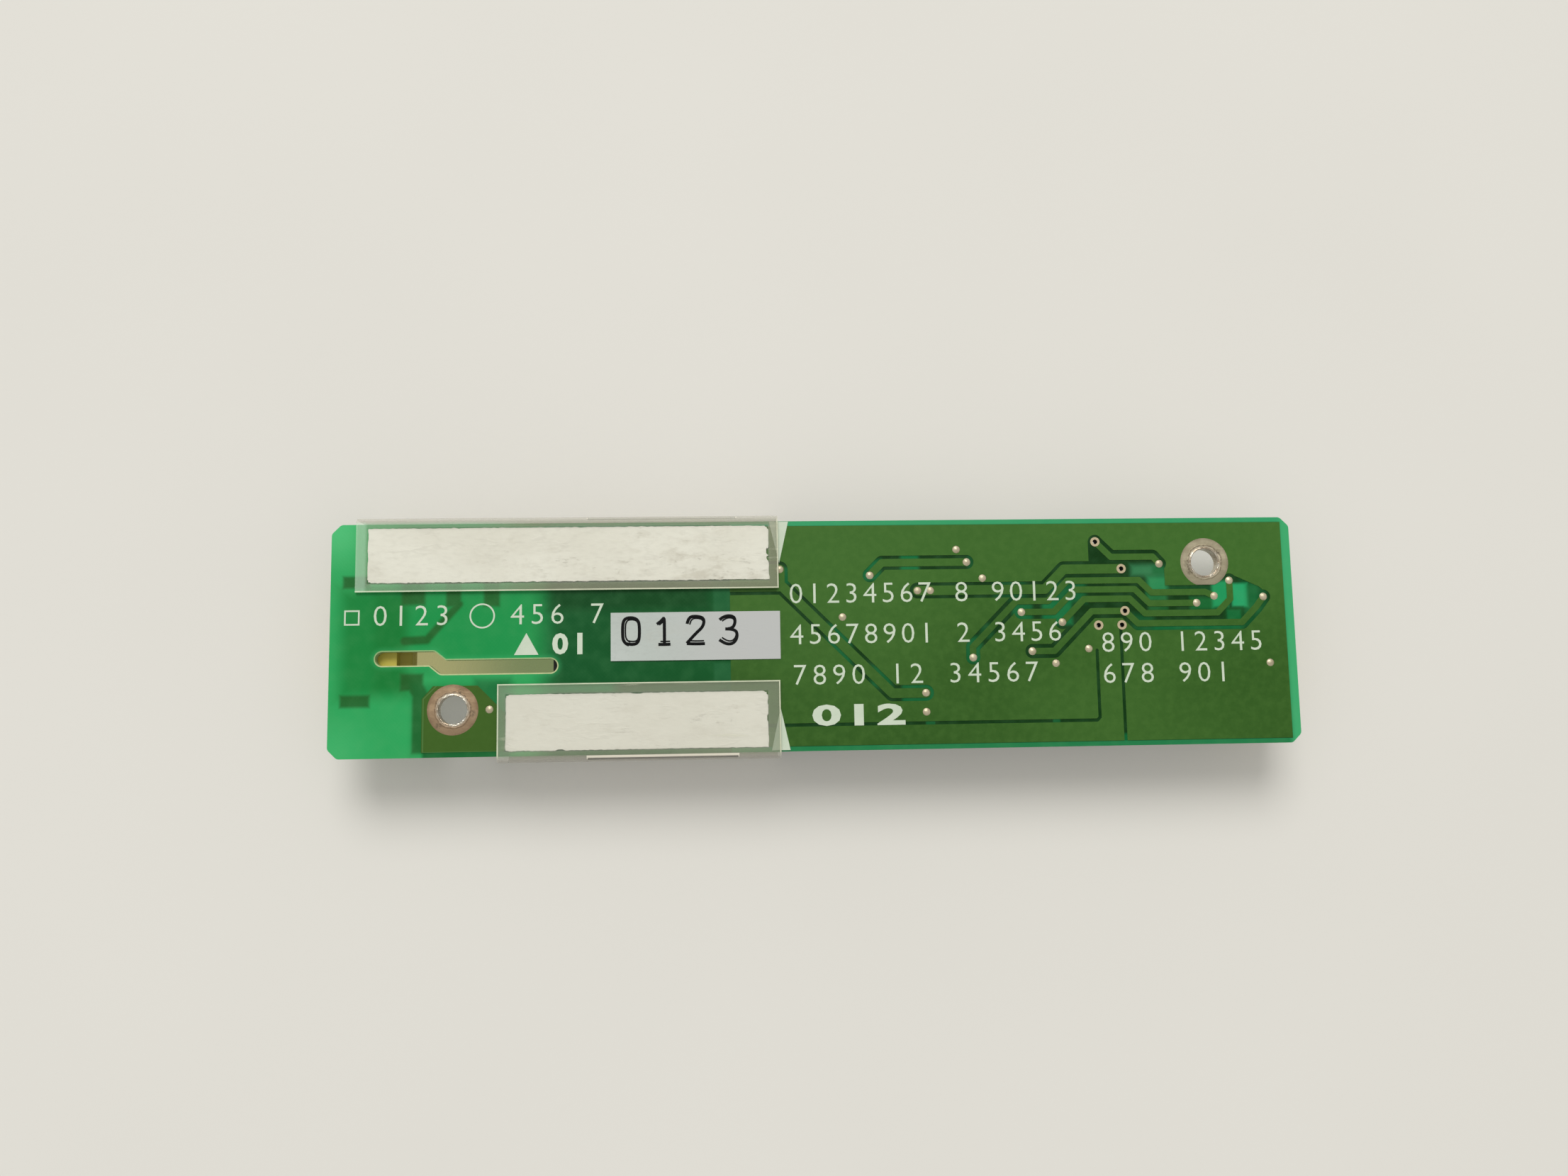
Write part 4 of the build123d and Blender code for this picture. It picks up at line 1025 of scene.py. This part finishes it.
def torn_tape(node, seed, bites):
    """A ragged tape in a CAD tape's place. Each bite is a place, its reach and how far it is pushed."""
    low, high = (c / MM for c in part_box(node))
    long, wide = high.x - low.x, high.y - low.y
    let_go()
    bpy.ops.mesh.primitive_grid_add(
        x_subdivisions=round(long / TAPE_GRID), y_subdivisions=round(wide / TAPE_GRID), size=1.0,
        location=((low.x + long / 2) * MM, (low.y + wide / 2) * MM, (low.z + TAPE_LIFT) * MM),
    )
    sheet = bpy.context.object
    sheet.scale = (long * MM, wide * MM, 1.0)
    bpy.ops.object.transform_apply(location=True, rotation=True, scale=True)

    def on_rim(x, y, z):
        return min(x - low.x, high.x - x, y - low.y, high.y - y) < 0.01

    edit_points(sheet, on_rim)
    bpy.ops.transform.vertex_random(offset=0.085 * MM, seed=seed)
    bpy.ops.mesh.vertices_smooth(factor=0.35, repeat=1)
    for (x, y), reach, push in bites:
        edit_points(sheet, lambda vx, vy, vz: math.hypot(vx - x, vy - y) < reach)
        bpy.ops.transform.translate(value=(push[0] * MM, push[1] * MM, 0))
    # shaking moved points up and down as well, so the sheet is pressed level again
    edit_points(sheet, lambda x, y, z: True)
    bpy.ops.transform.resize(value=(1, 1, 0), center_override=(0, 0, (low.z + TAPE_LIFT) * MM))
    shut()
    thicken(sheet, high.z - low.z - 1.5 * TAPE_LIFT, 1.0)
    soft = sheet.modifiers.new("soft", "BEVEL")
    soft.width, soft.segments, soft.angle_limit = 0.02 * MM, 1, math.radians(50)
    bpy.ops.object.modifier_apply(modifier="soft")
    settle(sheet, node + "_torn")
    dress(sheet, tape_finish)
    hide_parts(node)
    return sheet


upper_tape = torn_tape("upper_flap_tape", 5, [
    ((-5.6, 9.1), 0.36, (-0.26, 0.0)),
    ((-5.6, 8.4), 0.3, (-0.2, 0.05)),
    ((-5.6, 12.05), 0.4, (-0.15, -0.12)),
    ((-48.65, 6.1), 0.4, (0.1, 0.1)),
    ((-5.6, 6.1), 0.35, (0.1, 0.0)),
])
lower_tape = torn_tape("lower_flap_tape", 11, [
    ((-5.9, -5.95), 0.4, (-0.15, -0.12)),
    ((-5.9, -8.9), 0.35, (-0.12, 0.0)),
    ((-28.0, -12.0), 0.5, (0.0, 0.1)),
    ((-33.9, -5.95), 0.3, (0.08, -0.08)),
    ((-20.0, -5.95), 0.6, (0.0, -0.07)),
])
print("tapes:", len(upper_tape.data.polygons), len(lower_tape.data.polygons), "faces")

# %% [markdown]
# ## White print
#
# Screen print is a film of ink about a hundredth of a millimetre thick. It is made here as real
# shapes, so that its edges stay sharp however close one looks. Each figure from 0 to 9 is made once
# from Blender's own font, drawn thinner than usual, turned into a mesh and fitted to the size of a
# printed character, and then copied along rows of plain figures.

# %% Printed figures
FIGURE_HEIGHT, FIGURE_WIDTH = 2.15, 1.36
BOLD_HEIGHT, BROAD_WIDTH, SMALL_WIDTH = 2.3, 3.1, 1.7
INK = 0.008  # the thickness of a printed film
THIN, BOLD = -0.009, 0.035  # how far the font's outlines move in or out


def flat_text(words, weight):
    """Words as a mesh lying flat, one unit thick."""
    let_go()
    bpy.ops.object.text_add(location=(0, 0, 0))
    piece = bpy.context.object
    piece.data.body = words
    piece.data.offset = weight
    piece.data.resolution_u = 3
    piece.data.extrude = 0.5
    bpy.ops.object.convert(target="MESH")
    return bpy.context.object


def reach_of(piece):
    """The lowest corner of a piece's mesh and its size."""
    corners = [Vector(c) for c in piece.bound_box]
    lowest = Vector([min(c[i] for c in corners) for i in range(3)])
    return lowest, Vector([max(c[i] for c in corners) for i in range(3)]) - lowest


def fit(piece, low, high, bottom, top):
    """The piece's mesh is stretched to fill a box given in millimetres."""
    lowest, size = reach_of(piece)
    goal_low = Vector((low[0], low[1], bottom)) * MM
    goal = Vector((high[0], high[1], top)) * MM - goal_low
    piece.scale = [g / s for g, s in zip(goal, size)]
    piece.location = [g - a * s for g, a, s in zip(goal_low, lowest, piece.scale)]
    take(piece)
    bpy.ops.object.transform_apply(location=True, rotation=True, scale=True)
    return piece


def make_figures(weight, width, height):
    """The ten figures, all stretched as much as the 0 is, so that a 1 stays a slim 1."""
    raw = {mark: flat_text(mark, weight) for mark in "0123456789"}
    zero = reach_of(raw["0"])[1]
    for mark, piece in raw.items():
        wide = reach_of(piece)[1].x / zero.x * width
        side = (width - wide) / 2
        fit(piece, (side, 0), (side + wide, height), 0, INK)
    return raw


figures = make_figures(THIN, FIGURE_WIDTH, FIGURE_HEIGHT)
print("figures:", [len(p.data.polygons) for p in figures.values()])


def copy_to(piece, x, y, z):
    """A copy with its own mesh, moved by x, y and z millimetres."""
    twin = piece.copy()
    twin.data = piece.data.copy()
    bpy.context.collection.objects.link(twin)
    twin.location = (x * MM, y * MM, z * MM)
    return twin


def row_of_figures(words, left, right, base, level, marks=figures, width=FIGURE_WIDTH):
    """Figures spread evenly from left to right. A space in words leaves a gap."""
    pitch = (right - left - width) / (len(words) - 1)
    return [
        copy_to(marks[mark], left + n * pitch, base, level) for n, mark in enumerate(words) if mark != " "
    ]


# %% [markdown]
# ## Rows of plain figures
#
# Each row is a line of figures that count up, written as its characters, its left and right ends,
# its base line and the level it is printed on: the bare laminate or the mask over the copper.

# %% Rows of print
bare, coated_top = board_top / MM, pour_top / MM
rows = [
    ("0123", -47.9, -40.0, 1.55, bare),
    ("456 7", -33.4, -23.5, 1.55, bare),
    ("01234567 8 90123", -3.4, 28.2, 3.45, coated_top),
    ("45678901 2 3456", -3.4, 26.3, -1.0, coated_top),
    ("7890 12 34567", -3.1, 23.6, -5.4, coated_top),
    ("890 12345", 30.8, 48.7, -2.3, coated_top),
    ("678 901", 30.8, 44.8, -5.7, coated_top),
]
printed = []
for words, left, right, base, level in rows:
    printed += row_of_figures(words, left, right, base, level)
broad_figures = make_figures(BOLD, BROAD_WIDTH, BOLD_HEIGHT)
small_figures = make_figures(BOLD, SMALL_WIDTH, BOLD_HEIGHT)
printed += row_of_figures("012", -1.2, 8.9, -9.85, coated_top, broad_figures, BROAD_WIDTH)
printed += row_of_figures("01", -29.0, -25.2, -1.75, bare, small_figures, SMALL_WIDTH)
for patterns in (figures, broad_figures, small_figures):
    for pattern in patterns.values():
        bpy.data.objects.remove(pattern)
print(len(printed), "printed figures")

# %% [markdown]
# ## Printed ring, square and triangles
#
# The ring is an open cylinder as low as the ink is thick, which Solidify gives its stroke. The same
# with four sides is the empty square. The triangles are three-sided prisms fitted to their boxes.
# In the end all the print is joined in one piece, because it is one film of ink.


# %% Printed marks
def printed_ring(x, y, radius, stroke, level, sides=64):
    """A ring of print, or with four sides a square frame."""
    let_go()
    bpy.ops.mesh.primitive_cylinder_add(
        vertices=sides, radius=radius * MM, depth=INK * MM, end_fill_type="NOTHING",
        location=(x * MM, y * MM, (level + INK / 2) * MM),
    )
    ring = bpy.context.object
    if sides == 4:
        ring.rotation_euler.z = math.radians(45)
    thicken(ring, stroke, -1.0)
    bpy.ops.object.transform_apply(location=True, rotation=True, scale=True)
    return ring


def triangle(left, right, base, tip, level):
    """A solid printed triangle, from a three-sided prism fitted to its box."""
    let_go()
    bpy.ops.mesh.primitive_cylinder_add(vertices=3, radius=1.0, depth=1.0, location=(0, 0, 0))
    prism = bpy.context.object
    if tip < base:
        prism.rotation_euler.z = math.pi
        bpy.ops.object.transform_apply(rotation=True)
    return fit(prism, (left, min(base, tip)), (right, max(base, tip)), level, level + INK)


printed.append(printed_ring(-36.45, 2.5, 1.35, 0.17, bare))
printed.append(printed_ring(-50.2, 2.45, 1.15, 0.24, bare, sides=4))
printed.append(triangle(-33.05, -30.45, -1.75, 0.6, bare))
printed.append(triangle(-5.55, -3.45, 12.45, 7.9, coated_top))
printed.append(triangle(-5.6, -3.6, -12.35, -7.8, coated_top))
white_marks = join(printed, "white_print")
# the font's outlines leave a few faces with no area, which go now
open_up(white_marks)
bpy.ops.mesh.dissolve_degenerate(threshold=0.001 * MM)
shut()
dress(white_marks, print_finish)
print("print has", len(white_marks.data.polygons), "faces")

# %% [markdown]
# ## Outlines on the component side
#
# On the side that carries the parts, white outlines show where each one belongs. Most of an outline
# is hidden under its part, and only the lines beside or beyond the body are left to see. Each one
# starts as a plane as large as the outline. Inset draws the inner rectangle, which is then deleted,
# and Solidify gives the frame that is left the thickness of ink. An outline keeps clear of the
# terminals, so it is wider than the body in one direction and narrower in the other.


# %% Outlines
def bodies_in(node):
    """The boxes, in millimetres, of the separate solids in one CAD piece."""
    merged_copy(node, "loose")
    bpy.ops.mesh.separate(type="LOOSE")
    shut()
    boxes = []
    for part in list(bpy.context.selected_objects):
        lowest, size = reach_of(part)
        boxes.append((lowest / MM, (lowest + size) / MM))
        bpy.data.objects.remove(part)
    return boxes


def outline(low, high, wider, longer, stroke, level):
    """A rectangular frame of ink round a box, with its lower face at this level."""
    let_go()
    bpy.ops.mesh.primitive_plane_add(size=1.0, location=(low + high) / 2 * MM)
    drawn = bpy.context.object
    drawn.location.z = level * MM
    drawn.scale = ((high.x - low.x + 2 * wider) * MM, (high.y - low.y + 2 * longer) * MM, 1.0)
    bpy.ops.object.transform_apply(location=True, rotation=True, scale=True)
    open_up(drawn)
    bpy.ops.mesh.inset(thickness=stroke * MM, depth=0)
    bpy.ops.mesh.delete(type="FACE")
    shut()
    thicken(drawn, INK, 1.0)
    return drawn


under_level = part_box("component_side_copper")[0].z / MM - INK
OUTLINE_STROKE = 0.16
# how much wider along X and longer along Y each outline is than its body, at either side
outlined = [
    ("control_chip_body", 0.34, -0.35),
    ("regulator_chip_body", 0.34, -0.35),
    ("sense_chip_body", 0.3, -0.3),
    ("switching_transistor_bodies", -0.3, 0.34),
    ("diode_body", -0.2, 0.34),
    ("fuse_body", -0.2, 0.34),
    ("resonance_capacitor_body", -0.3, 0.36),
    ("choke_base", -1.4, 0.36),
    ("filter_capacitor_bases", -0.9, 0.34),
]
outlines = [
    outline(low, high, wider, longer, OUTLINE_STROKE, under_level)
    for node, wider, longer in outlined for low, high in bodies_in(node)
]
component_print = join(outlines, "component_side_print")
dress(component_print, print_finish)
print("component side has", len(outlines), "outlines")

# %% [markdown]
# ## Figures in marker pen
#
# The label is numbered by hand with a fine black marker. Each figure is one or two strokes, so each
# is drawn as a smooth curve through a few points, given a round section for its width, made a mesh
# and pressed flat on the paper. A second pass beside the first gives the doubled, gappy line of a
# pen that was almost dry.


# %% Pen strokes
PRESSED = 0.06  # the height that is left of a round stroke


def pen_stroke(points, width, level):
    """A smooth line through points in millimetres, as wide as the pen and pressed flat."""
    let_go()
    line = bpy.data.curves.new("stroke", "CURVE")
    line.dimensions = "3D"
    line.bevel_depth = width / 2 * MM
    line.bevel_resolution = 2
    line.use_fill_caps = True
    line.resolution_u = 8
    spline = line.splines.new("NURBS")
    spline.points.add(len(points) - 1)
    for point, (x, y) in zip(spline.points, points):
        point.co = (x * MM, y * MM, 0.0, 1.0)
    spline.order_u = 3
    spline.use_endpoint_u = True
    piece = bpy.data.objects.new("stroke", line)
    bpy.context.collection.objects.link(piece)
    take(piece)
    bpy.ops.object.convert(target="MESH")
    piece = bpy.context.object
    piece.scale.z = PRESSED
    bpy.ops.object.transform_apply(location=True, rotation=True, scale=True)
    piece.location.z = level * MM
    return piece


# the strokes of 0, 1, 2 and 3, each from its own left end and base line
pen_figures = [
    [
        [(0.7, 0.0), (0.1, 0.2), (0.0, 1.5), (0.1, 2.8), (0.95, 3.0),
         (1.75, 2.7), (1.85, 1.5), (1.75, 0.2), (0.95, 0.0), (0.45, 0.15)],
    ],
    [
        [(0.25, 2.2), (0.8, 2.6), (1.05, 3.0), (1.05, 1.6), (1.05, 0.0)],
        [(0.4, 0.02), (1.0, 0.0), (1.7, 0.03)],
    ],
    [
        [(0.05, 2.2), (0.2, 2.95), (1.1, 3.05), (1.9, 2.8), (1.8, 1.9), (0.9, 1.1), (0.0, 0.1)],
        [(0.0, 0.08), (0.9, 0.0), (1.95, 0.05)],
    ],
    [
        [(0.1, 2.6), (0.6, 3.05), (1.7, 3.0), (1.8, 2.2), (1.4, 1.6), (0.7, 1.6)],
        [(0.8, 1.6), (1.8, 1.6), (2.05, 0.8), (1.6, 0.0), (0.7, -0.05), (0.05, 0.45)],
    ],
]
PEN, SECOND_PASS = 0.34, 0.17  # the widths of the first and the second pass of the pen
FIRST_LEFT, FIGURE_PITCH, BASE_LINE = -21.5, 3.45, -0.85
label_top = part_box("lot_label")[1].z / MM
strokes = []
for n, figure in enumerate(pen_figures):
    left, base = FIRST_LEFT + n * FIGURE_PITCH, BASE_LINE
    for stroke in figure:
        strokes.append(pen_stroke([(left + x, base + y) for x, y in stroke], PEN, label_top))
        again = [(left + x * 0.8 + 0.3, base + y * 0.82 + 0.32) for x, y in stroke]
        strokes.append(pen_stroke(again, SECOND_PASS, label_top))
pen_marks = join(strokes, "label_pen_figures")
dress(pen_marks, ink_finish)
print("pen marks have", len(pen_marks.data.polygons), "faces")

# %% [markdown]
# ## Plated holes
#
# A screw hole is plated right through, and where a screw has been, the plating is burred up into a
# thin, bright, uneven lip round the hole. The lining is an open cylinder given a wall, and the lip
# is two slim rings that are shaken, smoothed and half sunk in the pad, so that they part and meet.


# %% Hole linings
lining_finish = metal(
    "worn_plating", (226, 220, 204), (176, 158, 134), 0.18, blotch=0.35, wear=0.4, dents=0.04
)
HOLE_RADIUS = 1.6
PLATING = 0.07
SUNK = 0.02  # how far the middle of a lip lies below the pad's face, and how far the lining stands out


def hole_lining(centre, seed, name):
    """The plating of one screw hole, with its burred lip."""
    x, y = centre
    let_go()
    bpy.ops.mesh.primitive_cylinder_add(
        vertices=96, radius=HOLE_RADIUS * MM, depth=(pour_top - board_under) + 2 * SUNK * MM,
        end_fill_type="NOTHING", location=(x * MM, y * MM, (pour_top + board_under) / 2),
    )
    tube = bpy.context.object
    thicken(tube, PLATING, -1.0)
    lips = []
    for radius, thick, shake in ((HOLE_RADIUS, 0.1, 0.1), (HOLE_RADIUS + 0.08, 0.06, 0.08)):
        let_go()
        bpy.ops.mesh.primitive_torus_add(
            major_segments=120, minor_segments=10, major_radius=radius * MM, minor_radius=thick * MM,
            location=(x * MM, y * MM, pour_top - SUNK * MM),
        )
        lip = bpy.context.object
        edit_points(lip, lambda vx, vy, vz: True)
        bpy.ops.transform.vertex_random(offset=shake * MM, seed=seed)
        bpy.ops.mesh.vertices_smooth(factor=0.5, repeat=3)
        shut()
        bpy.ops.object.shade_smooth()
        lips.append(lip)
        seed += 1
    lining = join([tube, *lips], name)
    return dress(lining, lining_finish)


hole_lining(lamp_hole, 21, "lamp_end_hole_lining")
hole_lining(input_hole, 42, "input_end_hole_lining")
print("holes lined")

# %% [markdown]
# ## Softened edges
#
# Nothing moulded, pressed or plated has a knife edge, and it is the thin line of light along a
# rounded edge that makes it look solid. The CAD bodies have sharp edges, so each visible body below
# the board is copied, its loose triangles are merged into whole faces, and a Bevel modifier rounds
# every edge that turns sharply. The copy stands in for the CAD piece.


# %% Rounding the parts below the board
def softened(node, width):
    """A copy of a CAD piece with its sharp edges rounded, in that piece's place."""
    piece = merged_copy(node, node + "_soft")
    bpy.ops.mesh.dissolve_limited(angle_limit=math.radians(1.0))
    shut()
    rounded = piece.modifiers.new("rounded", "BEVEL")
    rounded.width, rounded.segments = width * MM, 2
    rounded.limit_method, rounded.angle_limit = "ANGLE", math.radians(40)
    rounded.use_clamp_overlap = True
    bpy.ops.object.modifier_apply(modifier="rounded")
    bpy.ops.object.shade_smooth_by_angle(angle=math.radians(35))
    settle(piece, node + "_soft")
    dress(piece, finish_of[node])
    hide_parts(node)
    return piece


soft_parts = [
    ("lamp_connector_housing", 0.14, "housing_resin"),
    ("input_connector_housing", 0.14, "housing_resin"),
    ("transformer_core_lamp_end", 0.16, "ferrite"),
    ("transformer_core_input_end", 0.16, "ferrite"),
    ("transformer_bobbin", 0.06, "bobbin_resin"),
    ("transformer_wrap", 0.05, "yellow_tape"),
    ("switching_transistor_bodies", 0.09, "black_resin"),
    ("control_chip_body", 0.09, "black_resin"),
    ("regulator_chip_body", 0.09, "black_resin"),
    ("sense_chip_body", 0.06, "black_resin"),
    ("diode_body", 0.09, "black_resin"),
    ("choke_base", 0.08, "black_resin"),
    ("choke_core", 0.14, "ferrite"),
    ("filter_capacitor_bases", 0.1, "black_resin"),
    ("ballast_capacitor_bodies", 0.08, "ceramic_tan"),
    ("ballast_capacitor_ends", 0.08, "solder"),
    ("resonance_capacitor_body", 0.08, "grey_resin"),
    ("resonance_capacitor_ends", 0.08, "solder"),
    ("chip_capacitor_bodies", 0.04, "ceramic_tan"),
    ("chip_capacitor_ends", 0.05, "solder"),
    ("chip_resistor_bodies", 0.03, "black_resin"),
    ("chip_resistor_ends", 0.04, "solder"),
    ("fuse_body", 0.08, "white_ceramic"),
    ("fuse_ends", 0.08, "solder"),
]
for node, width, slot in soft_parts:
    piece = softened(node, width)
    print(f"{node}: {len(piece.data.polygons)} faces")
